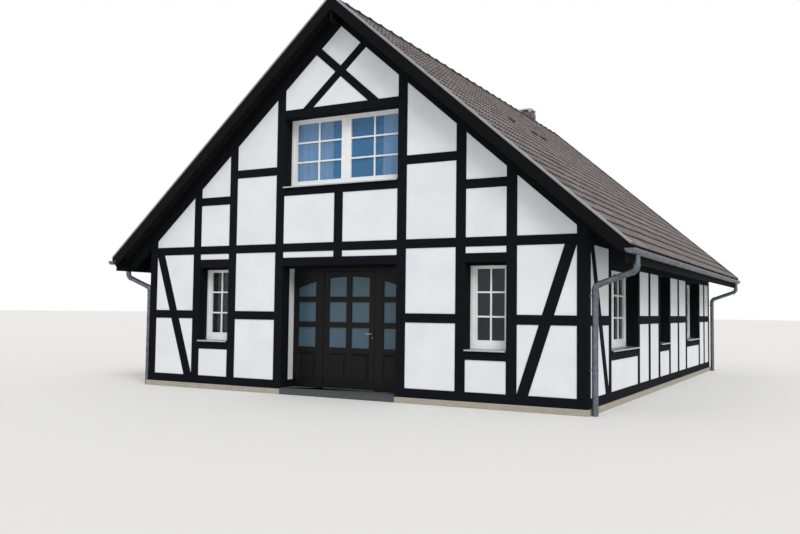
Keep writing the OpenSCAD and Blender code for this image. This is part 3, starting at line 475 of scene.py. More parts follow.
def solids(rings):
    # Closed shapes from an array of shapes x rings x corners x 3: a skin joins the rings of each shape, and
    # its first and last ring are end faces.
    count, steps, corners = rings.shape[:3]
    skin = gridFaces(steps, corners, closeColumns=True)
    ends = np.stack([np.arange(corners)[::-1], np.arange(corners) + (steps - 1) * corners])
    return rings.reshape(-1, 3), [repeated(group, count, steps * corners) for group in (skin, ends)]


def alongY(rings, places):
    # copies of a shape's rings, moved along the house to each of these places
    return rings + np.reshape(places, (-1, 1, 1, 1)) * np.array([0, 1, 0])


def joined(shapes):
    # several shapes as one: points one after another, and the faces' indices moved on to match
    points, faces, first = [], [], 0
    for own, groups in shapes:
        points.append(own.reshape(-1, 3))
        faces += [group + first for group in groups]
        first += len(points[-1])
    return np.concatenate(points), faces


def easedBoxes(low, high, ease, axis):
    # Boxes between pairs of corners, n x 3 each: both ends of a box are rings of eight corners, a rectangle
    # across the axis with its corners cut off at 45 degrees.
    low, high = np.atleast_2d(low), np.atleast_2d(high)
    side, cut = np.array([0, 1, 1, 1, 1, 0, 0, 0]), np.array([1, -1, 0, 0, -1, 1, 0, 0])
    points = np.empty((len(low), 2, 8, 3))
    for k, turn in zip([k for k in range(3) if k != axis], (0, 2)):
        ring = np.roll(side, turn) * (high - low)[:, k, None] + np.roll(cut, turn) * ease
        points[..., k] = (low[:, k, None] + ring)[:, None, :]
    points[..., axis] = np.stack([low[:, axis], high[:, axis]], 1)[:, :, None]
    return solids(points)


def roundBar(path, radius, flat, around=16):
    # A bar along a path in one plane, whose unit normal is flat: a ring of the radius at each point, spanned
    # by that normal and by its cross product with the path's direction.
    path, flat = np.asarray(path, float), np.asarray(flat, float)
    way = np.gradient(path, axis=0)
    way /= np.linalg.norm(way, axis=1, keepdims=True)
    angle = np.linspace(0, 2 * math.pi, around, endpoint=False)[None, :, None]
    ring = np.cross(way, flat)[:, None] * np.cos(angle) + flat * np.sin(angle)
    return solids((path[:, None] + ring * np.broadcast_to(radius, len(path))[:, None, None])[None])


def addPiece(name, points, faces, material, slot, body="house", sharp=35, attributes=None, grain=None):
    # points is an n x 3 array, and faces a list of index arrays, one for each number of corners.
    # Wood names its grain direction, an axis or "longest".
    points = points.reshape(-1, 3)
    mesh = bpy.data.meshes.new(name)
    corners = np.concatenate([group.ravel() for group in faces]).astype(np.int32)
    sizes = np.concatenate([np.full(len(group), group.shape[1]) for group in faces])
    mesh.vertices.add(len(points))
    mesh.vertices.foreach_set("co", np.ascontiguousarray(points, np.float32).ravel())
    mesh.loops.add(len(corners))
    mesh.loops.foreach_set("vertex_index", corners)
    mesh.polygons.add(len(sizes))
    mesh.polygons.foreach_set("loop_start", (np.cumsum(sizes) - sizes).astype(np.int32))
    mesh.update(calc_edges=True)
    shape = bmesh.new()
    shape.from_mesh(mesh)
    bmesh.ops.recalc_face_normals(shape, faces=shape.faces)
    shape.to_mesh(mesh)
    shape.free()
    mesh.shade_smooth()
    mesh.set_sharp_from_angle(angle=math.radians(sharp))
    for key, values in (attributes or {}).items():
        kind, field = ("FLOAT_VECTOR", "vector") if values.ndim > 1 else ("FLOAT", "value")
        mesh.attributes.new(key, kind, "POINT").data.foreach_set(field, values.astype(np.float32).ravel())
    if grain is not None:
        addGrain(mesh, None if grain == "longest" else grain)
    return placePiece(name, mesh, material, body)


# Roof planes: the pitch, and from the frame the upper faces of the boarding and of the tiles
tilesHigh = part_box("roof_tiles")[1]
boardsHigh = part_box("roof_boarding")[1]
roofPitch = math.radians(41)
deckGap, tileGap = 0.010, 0.075        # half of the gap between the two slopes of each, at the ridge
deckApex = boardsHigh.z + deckGap * math.tan(roofPitch)     # where the two slopes of boarding would meet
ridgeHeight = tilesHigh.z + tileGap * math.tan(roofPitch)   # where the two slopes of tiles would meet
roofEnd = tilesHigh.y


def roofPoint(side, down, y, height):
    # a point over a slope: down from the ridge along the boarding, and height square to it
    x = side * (down * math.cos(roofPitch) + height * math.sin(roofPitch))
    z = deckApex - down * math.sin(roofPitch) + height * math.cos(roofPitch)
    return np.stack(np.broadcast_arrays(x, y, z), -1)


tileSettings = {
    "courses": 22,
    "columns": 45,
    "waves": 2,            # crests on each tile
    "crest": 0.022,        # rise of a crest over a trough
    "butt": 0.024,         # thickness at the lower edge, which shows
    "headThick": 0.006,    # thickness at the upper edge, which the next course covers
    "slit": 0.004,         # between a butt and the tile under it
    "nose": 0.008,         # length of the rounded lower edge
    "trough": 0.037,       # upper face of the trough over the boarding, at the butt
    "dirt": 0.060,         # length of the strip of painted shade below the next butt
    "shadeFadeToRidge": 0.8,        # how much less painted shade there is at the ridge than at the eaves
    "headLap": 0.022,      # length of the head under the next butt
    "sideLap": 0.008,
    "fold": 0.005,         # rise of the rear edge over the neighbour's front edge
    "foldPlace": 0.9,      # the fold starts at this share of the width
    "foldRun": 0.08,       # share of the width over which it rises
    "foldThinner": 0.75,   # share of the thickness that is missing under it
    "noseFall": 0.003,     # fall of the rounded lower edge
    # painted shade at the butt, behind the nose, where the shaded strip starts, at the head, and on the lower
    # face
    "soiled": (0.7, 0, 0.1, 1, 1, 1),
    "acrossFaces": 14,
    "eaveDown": 7.27,      # butts of the lowest course, down the slope
    "ridgeStop": 0.045,    # heads of the last course, down the slope
    "play": (0.0012, 0.0015, 0.0005),  # spread of the tiles across, up the slope and in height
    "twist": 0.003,        # spread of their turns
}
tileWidth = 2 * roofEnd / tileSettings["columns"]
tileGauge = tileSettings["eaveDown"] / tileSettings["courses"]


def tileShell(t):
    # One tile as closed rings from its front to its rear edge, each corner as (across, up, height): four
    # corners from butt to head on its upper face, and two on its lower one. The height is a wave across, a
    # cosine whose troughs are a little wider than its crests. It falls from butt to head, so that the head
    # fits under the next butt, and the lower corners lie one thickness down, less at the fold.
    across = np.linspace(0, 1, t["acrossFaces"] + 1)[:, None]
    head = tileGauge + t["headLap"]
    up = np.array([0, t["nose"], tileGauge - t["dirt"], head, head, 0])
    wave = 0.5 - 0.5 * np.cos(2 * math.pi * t["waves"] * across)
    fold = np.clip((across - t["foldPlace"]) / t["foldRun"], 0, 1)
    crest = t["trough"] + t["crest"] * wave ** 1.25 + t["fold"] * fold
    under = np.array([t["noseFall"], 0, 0, 0, t["headThick"], t["butt"]])
    under = under * np.where(np.arange(6) < 4, 1, 1 - t["foldThinner"] * fold)
    height = crest - (t["butt"] + t["slit"]) / tileGauge * up - under
    return np.stack(np.broadcast_arrays(across * (tileWidth + t["sideLap"]), up, height), -1)


def tileSlope(name, side):
    # all tiles of one slope: the shell set out in courses and columns, each a hair out of true
    t = tileSettings
    shell, count = tileShell(t), t["courses"] * t["columns"]
    course, column = [place[:, None, None] for place in np.divmod(np.arange(count), t["columns"])]
    shift = draw.normal(0, t["play"], (count, 3))[:, None, None]
    twist = draw.normal(0, t["twist"], count)[:, None, None]
    across, up, height = np.moveaxis(shell + shift, -1, 0)
    up = up + twist * (shell[..., 0] - tileWidth / 2)
    down = np.maximum(t["eaveDown"] - course * tileGauge - up, t["ridgeStop"])
    y = np.clip(-roofEnd + column * tileWidth + across, -roofEnd, roofEnd)
    tone = np.repeat(draw.uniform(0, 1, count), shell.size // 3)
    # painted shade, strongest on the lowest course and fading towards the ridge
    share = 1 - t["shadeFadeToRidge"] * course / (t["courses"] - 1)
    shade = np.broadcast_to(share * t["soiled"], y.shape).ravel()
    points, faces = solids(roofPoint(side, down, y, height))
    piece = addPiece(name, points, faces, roofTileWithPaintedShade, "roof_tiles", attributes={"tone": tone, "shade": shade})
    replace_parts(piece, "roof_tiles")


tileSlope("roofTilesRight", 1)
tileSlope("roofTilesLeft", -1)
print("roof tiles laid")


ridgeSettings = {
    "count": 31,
    "drop": 0.010,        # depth of the crown under the point where the tile planes meet
    "radius": 0.120,
    "thickness": 0.014,
    # place along the tile and outer radius: a rounded collar, then a step down to the neck
    "profile": ((0, 0.114), (0.004, 0.120), (0.012, 0.123), (0.035, 0.123), (0.045, 0.118), (0.051, 0.111)),
    "tail": 0.104,        # outer radius at the far end
    "overlap": 0.030,     # length of that end under the next collar
    "halfTurn": 100,      # degrees from the top to the lower edge
    "aroundFaces": 18,
}


def ridgeTiles(r):
    # One tile is a half round shell whose radius follows the profile and then tapers slightly to the tail.
    # The row repeats it from the front gable to the back one.
    gauge = 2 * roofEnd / r["count"]
    along, outer = np.array([*r["profile"], (gauge + r["overlap"], r["tail"])]).T
    radius = np.concatenate([outer, outer[::-1] - r["thickness"]])
    y = np.concatenate([along, along[::-1]]) - roofEnd
    angle = np.radians(np.linspace(-r["halfTurn"], r["halfTurn"], r["aroundFaces"] + 1))[:, None]
    z = ridgeHeight - r["drop"] - r["radius"] + radius * np.cos(angle)
    rings = np.stack(np.broadcast_arrays(radius * np.sin(angle), y, z), -1)
    points = alongY(rings, np.arange(r["count"]) * gauge)
    points[..., 1] = np.minimum(points[..., 1], roofEnd)
    tone = np.repeat(draw.uniform(0, 1, r["count"]), rings.size // 3)
    piece = addPiece("ridgeTiles", *solids(points), ridgeTileWithPaintedShade, "ridge_tiles", attributes={"tone": tone})
    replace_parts(piece, "ridge_tiles")


ridgeTiles(ridgeSettings)
print("ridge tiles laid")


# Boards, stones and sheet metal round the frame

boardSettings = {
    "rows": 52,
    "thickness": 0.025,
    "ease": 0.006,
    "joint": 0.004,
    "length": 4.2,
    "shortest": 0.3,
    "chimneyPlay": 0.015,
}
chimneyLow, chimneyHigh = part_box("chimney")


def roofBoards(name, side, b):
    # Boards along the roof, cut short round the chimney, their joints shifted from row to row by a third
    # of a board. They are set out in (down, y, height) and then laid on the slope.
    top, foot = deckGap / math.cos(roofPitch), boardsHigh.x / math.cos(roofPitch)
    width = (foot - top) / b["rows"]
    shaft = [c / math.cos(roofPitch) for c in (-chimneyHigh.x, -chimneyLow.x)]
    shaftEnds = [chimneyLow.y - b["chimneyPlay"], chimneyHigh.y + b["chimneyPlay"]]
    low, high = [], []
    for row in range(b["rows"]):
        start = top + row * width
        stops = -roofEnd + b["length"] * (np.arange(5) + (row % 3) / 3)
        stops = {-roofEnd, roofEnd, *stops[np.abs(stops) < roofEnd - b["shortest"]]}
        cut = side < 0 and start + width > shaft[0] and start < shaft[1]
        if cut:
            stops = {s for s in stops if not shaftEnds[0] < s < shaftEnds[1]} | set(shaftEnds)
        stops = sorted(stops)
        for one, other in zip(stops[:-1], stops[1:]):
            if cut and one == shaftEnds[0]:
                continue
            low.append((start + b["joint"] / 2, one + b["joint"] / 2, -b["thickness"]))
            high.append((start + width - b["joint"] / 2, other - b["joint"] / 2, 0))
    points, faces = easedBoxes(np.array(low), np.array(high), b["ease"], 1)
    piece = addPiece(name, roofPoint(side, points[:, 0], points[:, 1], points[:, 2]), faces, umberBoard,
                     "dark_boards", grain=inward)
    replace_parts(piece, "roof_boarding")


roofBoards("roofBoardsRight", 1, boardSettings)
roofBoards("roofBoardsLeft", -1, boardSettings)


plinthSettings = {"stone": 1.2, "joint": 0.004, "ease": 0.006}
plinthLow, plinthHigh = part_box("plinth")
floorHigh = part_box("ground_floor")[1]
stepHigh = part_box("door_step")[1]


def stoneRun(start, end, other, axis, p):
    # a row of stones from start to end along an axis, between two values across it
    count = max(1, round((end - start) / p["stone"]))
    stops = np.linspace(start, end, count + 1)
    low, high = np.empty((count, 3)), np.empty((count, 3))
    low[:, axis], high[:, axis] = stops[:-1] + p["joint"] / 2, stops[1:] - p["joint"] / 2
    low[:, 1 - axis], high[:, 1 - axis] = other
    low[:, 2], high[:, 2] = plinthLow.z, plinthHigh.z
    return easedBoxes(low, high, p["ease"], axis)


def plinthStones(p):
    # sawn kerb stones round the house, and darker ones under the doorway
    outer, inner = plinthHigh, floorHigh
    front, back = (-outer.y, -inner.y), (inner.y, outer.y)
    pale = joined([
        stoneRun(-outer.x, -stepHigh.x, front, 0, p),
        stoneRun(stepHigh.x, outer.x, front, 0, p),
        stoneRun(-outer.x, outer.x, back, 0, p),
        stoneRun(-inner.y, inner.y, (inner.x, outer.x), 1, p),
        stoneRun(-inner.y, inner.y, (-outer.x, -inner.x), 1, p),
    ])
    dark = stoneRun(-stepHigh.x, stepHigh.x, front, 0, p)
    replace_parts(addPiece("plinthStones", *pale, plinthStone, "plinth_stone"), "plinth")
    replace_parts(addPiece("doorwayStones", *dark, stepStone, "step_stone"), "plinth")


plinthStones(plinthSettings)
print("roof boards and plinth laid")


gutterSettings = {
    "radius": 0.075,
    "sheet": 0.002,
    "bead": 0.009,           # radius of the rolled front edge
    "lengths": 4,            # between both ends
    "sleeve": (0.07, 0.003), # width and thickness
    "strap": (0.028, 0.004), # width, and distance of its outer face from the gutter
    "strapGap": 0.0005,
    "firstStrap": 0.2,       # from the gutter's end
    "strapPitch": 0.65,
    "endCap": 0.0065,
    # place along the cap and rise over the gutter's radius
    "capProfile": ((0, 0.001), (0.004, 0.001), (0.0065, -0.003)),
}
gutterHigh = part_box("gutters")[1]
gutterX = gutterHigh.x - gutterSettings["radius"]


def arcPoints(radius, first, last, count):
    # x and z of points on an arc, its angles in degrees from +X towards +Z
    angle = np.radians(np.linspace(first, last, count))
    return np.stack([radius * np.cos(angle), radius * np.sin(angle)], -1)


def straps(middles, width, inner, outer, first, last):
    # bands bent round the gutter: a rectangle carried along an arc, in 13 steps from one angle to another
    radius, across = np.array([inner, outer, outer, inner]), np.array([-0.5, -0.5, 0.5, 0.5]) * width
    arc = np.radians(np.linspace(first, last, 13))[:, None]
    rings = np.stack(np.broadcast_arrays(radius * np.cos(arc), across, radius * np.sin(arc)), -1)
    return solids(alongY(rings, middles))


def mirroredPiece(name, shapes, place, material, slot):
    # shapes for the right-hand side, moved to their place, and their mirror image on the left
    points, faces = joined(shapes)
    points = points + np.array(place)
    return addPiece(name, *joined([(points, faces), (points * np.array([-1, 1, 1]), faces)]), material, slot)


def gutters(g):
    # Half round eaves gutters: the outline runs down and round the outside, over the rolled bead, and back
    # inside. Each run has four lengths, with sleeves over their joints, and straps under them.
    r, end = g["radius"], gutterHigh.y
    bead = arcPoints(g["bead"], 30, 240, 8) + np.array([r - g["bead"], 0])
    outline = np.concatenate([arcPoints(r, 180, 360, 17), bead, arcPoints(r - g["sheet"], 346, 180, 16)])
    joints = np.linspace(g["endCap"] - end, end - g["endCap"], g["lengths"] + 1)
    runs = np.empty((g["lengths"], 2, len(outline), 3))
    runs[..., 0], runs[..., 2] = outline.T
    runs[..., 1] = np.stack([joints[:-1], joints[1:]], -1)[..., None]
    width, thickness = g["sleeve"]
    sleeves = straps(joints[1:-1], width, r, r + thickness, 180, 358)
    caps = []
    for way in (-1, 1):
        rings = [np.insert(arcPoints(r + rise, 180, 360, 17), 1, way * (end - g["endCap"] + out), axis=1)
                 for out, rise in g["capProfile"]]
        caps.append(solids(np.stack(rings)[None]))
    place = (gutterX, 0, gutterHigh.z)
    piece = mirroredPiece("gutterRuns", [solids(runs), sleeves, *caps], place, zinc, "zinc")
    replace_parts(piece, "gutters")
    width, thickness = g["strap"]
    reach = end - g["firstStrap"]
    middles = np.linspace(-reach, reach, round(2 * reach / g["strapPitch"]))
    hooks = straps(middles, width, r + g["strapGap"], r + thickness, 190, 372)
    mirroredPiece("gutterStraps", [hooks], place, zinc, "zinc")


gutters(gutterSettings)


pipeSettings = {
    "radius": 0.050,
    "reach": 0.090,          # middle of the pipe from the side wall
    "inset": 0.080,          # middle of the pipe from the gable face
    "entry": 0.003,          # length inside the gutter's bottom
    "neck": 0.170,           # straight pipe under the gutter
    "bendRadius": 0.100,
    "bendTurn": 70,
    "collar": (0.040, 0.0065),   # length and rise
    "clips": (0.726, 1.900),     # heights above the ground
    "clip": (0.028, 0.004),      # length and rise
    "ear": (0.008, 0.022, 0.026),
    "earEase": 0.002,
    "earReach": 0.064,           # middle of an ear from the middle of the pipe
    "stem": 0.006,               # radius
    "rosette": (0.02, 0.004),    # radius and thickness of its foot on the wall
}


def collar(middle, way, length, radius):
    # a short sleeve round a pipe, with eased ends: shares of the length, and depths under the full radius
    share, under = np.array([(-0.5, 0.006), (-0.42, 0.0008), (0, 0), (0.42, 0.0008), (0.5, 0.006)]).T
    return roundBar(np.array(middle) + share[:, None] * length * np.array(way), radius - under, (0, 1, 0))


def rainPipes(p):
    # Swan neck downpipes. The route leaves the gutter plumb, turns in over an arc, slopes to the wall and
    # turns plumb again; sleeves cover its joints, and clips on stems hold it to the corner posts.
    turn, bend = math.radians(p["bendTurn"]), p["bendRadius"]
    outX, inX = gutterX, wallX + p["reach"]
    highZ = gutterHigh.z - gutterSettings["radius"] - p["neck"]
    slope = (outX - inX - 2 * bend * (1 - math.cos(turn))) / math.sin(turn)
    lowZ = highZ - 2 * bend * math.sin(turn) - slope * math.cos(turn)
    arc = np.linspace(0, turn, 9)
    upper = np.stack([outX - bend * (1 - np.cos(arc)), arc * 0, highZ - bend * np.sin(arc)], -1)
    lower = np.stack([inX + bend * (1 - np.cos(arc)), arc * 0, lowZ + bend * np.sin(arc)], -1)[::-1]
    ends = np.array([[outX, 0, gutterHigh.z - gutterSettings["radius"] + p["entry"]], [inX, 0, 0]])
    route = np.concatenate([ends[:1], upper, lower, ends[1:]])
    plumb, leaning = (0, 0, 1), (math.sin(turn), 0, math.cos(turn))
    length, rise = p["collar"]
    joints = [(route[1], plumb), (upper[-1], leaning), (lower[0], leaning), (lower[-1], plumb)]
    shapes = [roundBar(route, p["radius"], (0, 1, 0), 20)]
    shapes += [collar(middle, way, length, p["radius"] + rise) for middle, way in joints]
    for z in p["clips"]:
        shapes.append(collar((inX, 0, z), plumb, p["clip"][0], p["radius"] + p["clip"][1]))
        ears, half = np.array([[inX, side * p["earReach"], z] for side in (-1, 1)]), np.array(p["ear"]) / 2
        shapes.append(easedBoxes(ears - half, ears + half, p["earEase"], 2))
        wide, thick = p["rosette"]
        stem = [[x, 0, z] for x in (wallX, wallX + thick, wallX + thick + 0.001, inX - p["radius"])]
        shapes.append(roundBar(stem, [wide, wide, p["stem"], p["stem"]], (0, 1, 0), 12))
    front = [(points - np.array([0, wallY - p["inset"], 0]), faces) for points, faces in shapes]
    back = [(points * np.array([1, -1, 1]), faces) for points, faces in front]
    piece = mirroredPiece("rainPipes", front + back, (0, 0, 0), zinc, "zinc")
    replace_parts(piece, "downpipes")


rainPipes(pipeSettings)
print("gutters and downpipes hung")


# Chimney and vents

slateSettings = {
    "rows": 8,
    "row": 0.125,
    "start": 0.012,         # from the top of the shaft
    "lap": 0.03,
    "thickness": 0.005,
    "kick": 0.008,          # how far the lower edge stands out
    "tight": 0.001,         # and the upper edge
    "joint": 0.003,
    "sunk": 0.03,           # cut edges end this deep under the tiles
    "least": 0.02,          # shorter plates are left out
    "acrossX": 2,           # slates in a row on the gable sides of the shaft
    "acrossY": 3,
}


def tilePlane(x):
    # height of the upper face of the tiles over a place across the house
    return ridgeHeight - np.abs(x) * math.tan(roofPitch)


def chimneySlates(s):
    # Four sides of tilted plates in rows, every other row shifted by half a plate, and cut off where they
    # would pass through the roof. A plate is a ring at its lower edge and one at its upper edge.
    low, high = chimneyLow, chimneyHigh
    sides = [((low.x, low.y), (1, 0), (0, -1)), ((high.x, low.y), (0, 1), (1, 0)),
             ((high.x, high.y), (-1, 0), (0, 1)), ((low.x, high.y), (0, -1), (-1, 0))]
    rings = []
    for corner, along, outward in sides:
        total, count = (high.x - low.x, s["acrossX"]) if along[0] else (high.y - low.y, s["acrossY"])
        for row in range(s["rows"]):
            foot = high.z - s["start"] - (row + 1) * s["row"]
            stops = (np.arange(count + 2) - 0.5 * (row % 2)) * total / count
            stops = np.unique(np.clip(stops, 0, total))
            edges = np.stack([stops[:-1] + s["joint"] / 2, stops[1:] - s["joint"] / 2], -1)
            for one, other in edges:
                a = np.array([one, other, other, one])[:, None]
                out = np.array([0, 0, s["thickness"], s["thickness"]])[:, None]
                plate = []
                for proud, z in (s["kick"], foot), (s["tight"], foot + s["row"] + s["lap"] * (row > 0)):
                    level = np.array(corner) + a * along + (out + proud) * outward
                    plate.append(np.insert(level, 2, z, axis=1))
                lower, upper = plate
                lower[:, 2] = np.maximum(lower[:, 2], tilePlane(lower[:, 0]) - s["sunk"])
                if (lower[:, 2] < upper[:, 2] - s["least"]).all():
                    rings.append(plate)
    points, faces = solids(np.array(rings))
    tone = np.repeat(draw.uniform(0, 1, len(rings)), len(points) // len(rings))
    addPiece("chimneySlates", points, faces, slateCladding, "chimney_brick", attributes={"tone": tone})


flashingSettings = {
    # distance out from the shaft and height over the tile plane: upstand, its foot, and the apron
    "levels": ((0.016, 0.13), (0.016, 0.02), (0.022, 0.008), (0.11, 0.004)),
    "ridgeSide": 0.018,     # the most that it stands out towards the ridge
    "sheet": 0.003,
}


def chimneyFlashing(f):
    # Dressed lead: four corners at each of four levels, from the top of the upstand, down the slates, to the
    # edge of the apron over the tiles. It stays short on the side of the ridge.
    out, lift = np.array(f["levels"]).T[:, :, None]
    towards = chimneyHigh.x + np.minimum(out, f["ridgeSide"])
    x = np.where([True, False, False, True], chimneyLow.x - out, towards)
    y = np.where([True, True, False, False], chimneyLow.y - out, chimneyHigh.y + out)
    points = np.stack([x, y, tilePlane(x) + lift], -1)
    faces = [gridFaces(4, 4, closeColumns=True)]
    piece = addPiece("chimneyFlashing", points, faces, lead, "cap_metal", sharp=25)
    sheet = piece.modifiers.new("leadSheet", "SOLIDIFY")
    sheet.thickness = f["sheet"]
    sheet.offset = 0


chimneySlates(slateSettings)
chimneyFlashing(flashingSettings)


ventSettings = {
    "down": 2.40,                     # lower edge, from the ridge down the slope
    "middles": (-2.05, -0.55, 0.12),  # places along the house
    "width": 0.17,
    "length": 0.20,
    "rise": 0.030,
    "rim": (0.035, 0.05),             # lower and upper edge of its sides, over the boarding
    "taper": 0.15,                    # share of the width that is lost at the top
    "soiled": 0.75,                   # painted shade all over, as on the tiles
    "rings": 7,
    "around": 11,
}


def ventTiles(v):
    # Low hoods on three tiles: half an ellipse across, its height falling from the open lower edge to
    # nothing at the top, carried up the slope in rings.
    up = np.linspace(0, 1, v["rings"])[:, None]
    angle = np.linspace(0, math.pi, v["around"])
    y = 0.5 * v["width"] * np.cos(angle) * (1 - v["taper"] * up)
    height = v["rim"][1] + v["rise"] * (1 - up ** 1.6) * np.sin(angle) ** 0.7
    y = np.concatenate([y, y[:, [-1, 0]]], 1)
    height = np.concatenate([height, np.full((v["rings"], 2), v["rim"][0])], 1)
    down = np.broadcast_to(v["down"] - up * v["length"], y.shape)
    points, faces = solids(alongY(roofPoint(1, down, y, height), v["middles"]))
    tone = np.zeros(len(points))
    # the vents carry painted shade all over through the shade attribute
    addPiece("ventTiles", points, faces, roofTileWithPaintedShade, "roof_tiles",
             attributes={"tone": tone, "shade": tone + v["soiled"]})


ventTiles(ventSettings)
print("chimney clad, vents set")


# Door set

leafLow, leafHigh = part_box("door_leaf")
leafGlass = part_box("door_glass")
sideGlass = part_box("side_light_glass")
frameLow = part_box("entrance_frame")[0]
mouldingSettings = {
    "foot": 0.250,           # heights above the ground
    "head": 0.810,
    "bar": 0.116,            # between the two panels of the leaf
    "leafGap": 0.009,        # between the leaf and the post beside it
    "post": 0.185,           # from there to the panel of the side light
    # distance in from the panel's edge, and height over the face of the door
    "outline": ((0, -0.012), (0.001, 0.003), (0.007, 0.007), (0.015, 0.005), (0.022, -0.002),
                (0.032, -0.005), (0.039, -0.012)),
}


def panelMouldings(name, spans, face, body, m):
    # A moulded bead round each panel: the outline stands square to the edges, and its copies at the four
    # corners are joined along them, so that the corners are mitred.
    inset, proud = np.array(m["outline"]).T
    rings = []
    for left, right in spans:
        corners = ((left, m["foot"], 1, 1), (right, m["foot"], -1, 1),
                   (right, m["head"], -1, -1), (left, m["head"], 1, -1))
        rings.append([np.stack([x + inset * dx, face - proud, z + inset * dz], -1)
                      for x, z, dx, dz in corners])
    size = len(inset)
    faces = repeated(gridFaces(4, size, closeRows=True, closeColumns=True), len(spans), 4 * size)
    addPiece(name, np.array(rings), [faces], doorOak, "door_timber", body, sharp=20, grain="longest")


middleX = (leafGlass[0].x + leafGlass[1].x) / 2
halfBar = mouldingSettings["bar"] / 2
leafSpans = [(leafGlass[0].x, middleX - halfBar), (middleX + halfBar, leafGlass[1].x)]
lightInner = leafHigh.x + mouldingSettings["leafGap"] + mouldingSettings["post"]
sideSpans = [(lightInner, sideGlass[1].x), (sideGlass[0].x, -lightInner)]
panelMouldings("leafMouldings", leafSpans, leafLow.y, "door", mouldingSettings)
panelMouldings("sideLightMouldings", sideSpans, frameLow.y, "house", mouldingSettings)


handleSettings = {
    "plate": (0.034, 0.230, 0.006),   # width, height, thickness
    "corner": 0.010,
    "ease": 0.002,
    "spindle": 0.020,        # from the edge of the handle's box
    "stub": 0.020,           # straight part of the route before the bend
    "reach": 0.050,
    "lever": 0.130,
    "radius": 0.008,
    "bend": 0.014,
    "tip": ((0.02, 0), (0.004, 0.002), (0, 0.003)),   # distances from the lever's end and towards the door
    "tipRadii": (0.0072, 0.004),
    "lockDrop": 0.072,       # middle of the lock under the lever
    # height over the door and radius of the lock
    "lock": ((0, 0.0085), (0.0095, 0.0085), (0.0100, 0.0075), (0.0101, 0.002)),
}


def doorHandle(h):
    # A bent round lever on a long plate, on both faces of the leaf. The lever's route runs out of the
    # plate, round a quarter bend and along the door; the plate is a rounded rectangle in three rings.
    low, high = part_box("door_handle")
    spindle, level = high.x - h["spindle"], (low.z + high.z) / 2
    width, height, thickness = h["plate"]
    tipIn, tipBack = np.array(h["tip"]).T
    lockOut, lockRadius = np.array(h["lock"]).T
    arc = np.linspace(0, math.pi / 2, 6)
    steps = 5       # points round each corner of the plate
    quarter = np.repeat(np.arange(4), steps)
    angle = quarter * math.pi / 2 + np.tile(np.linspace(0, math.pi / 2, steps), 4)
    signX, signZ = np.array([1, -1, -1, 1])[quarter], np.array([1, 1, -1, -1])[quarter]
    levers, plates = [], []
    for face, way in ((leafLow.y, -1), (leafHigh.y, 1)):
        x = np.concatenate([[0, 0], h["bend"] * (np.cos(arc) - 1), tipIn - h["lever"]])
        bend = h["reach"] - h["bend"] * (1 - np.sin(arc))
        out = np.concatenate([[0, h["stub"]], bend, h["reach"] - tipBack])
        route = np.stack([spindle + x, face + way * out, np.full(len(x), level)], -1)
        radius = np.full(len(x), h["radius"])
        radius[-2:] = h["tipRadii"]
        levers.append(roundBar(route, radius, (0, 0, 1)))
        lock = [[spindle, face + way * d, level - h["lockDrop"]] for d in lockOut]
        levers.append(roundBar(lock, lockRadius, (0, 0, 1), 12))
        rings = []
        for out, inset in ((0, 0), (thickness - h["ease"], 0), (thickness, h["ease"])):
            r = h["corner"] - inset
            x = signX * (width / 2 - h["corner"]) + r * np.cos(angle)
            z = signZ * (height / 2 - h["corner"]) + r * np.sin(angle)
            rings.append(np.stack([spindle + x, np.full(len(x), face + way * out), level + z], -1))
        plates.append(solids(np.array(rings)[None]))
    for name, shapes, metal in (("doorLevers", levers, handleSteel), ("doorPlates", plates, darkBronze)):
        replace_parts(addPiece(name, *joined(shapes), metal, "handle_steel", "door"), "door_handle")


doorHandle(handleSettings)


skirtingSettings = {
    "thickness": 0.015,
    "top": 0.26,             # height above the ground
    "ease": 0.003,
    "linings": 0.240,        # depth of the linings, where the boards start
    "besideStep": 0.025,     # from the end of the step to the reveal
}


def recessSkirting(s):
    # low boards on both walls of the entrance recess, from the linings to the door set
    reveal = stepHigh.x + s["besideStep"]
    spans = ((reveal - s["thickness"], reveal), (-reveal, s["thickness"] - reveal))
    low = np.array([[x, s["linings"] - wallY, floorHigh.z] for x, _ in spans])
    high = np.array([[x, frameLow.y, s["top"]] for _, x in spans])
    addPiece("recessSkirting", *easedBoxes(low, high, s["ease"], 1), darkBoard, "dark_boards", grain=inward)


recessSkirting(skirtingSettings)
print("door set finished")


# Net curtains behind the upper windows

curtainSettings = {
    "fold": 0.120,        # mean width of a fold
    "depth": 0.020,       # half of the folds' depth at the hem
    "gathered": 0.35,     # share of that depth at the rod
    "drift": (0.9, 9),    # the folds' phase drifts across the net: by how much, and how fast
    "lean": (0.25, 3),    # and down the net
    "sway": 0.012,        # sideways sway of the hem
    "thickness": 0.0008,
    "rows": 15,           # of points from rod to hem
    "setback": 0.086,     # from the front of the glass
    "rod": 0.008,         # radius
    "rodHeight": 5.375,   # where the net's top edge hangs
    "hang": 0.004,        # depth of that edge under the middle of the rod
    "foot": 4.03,
    "reach": 1.28,        # from the middle of the window to the reveals
    "spans": {"Left": (-1.25, -0.37), "Right": (0.76, 1.25)},
}
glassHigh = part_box("window_glass")[1]


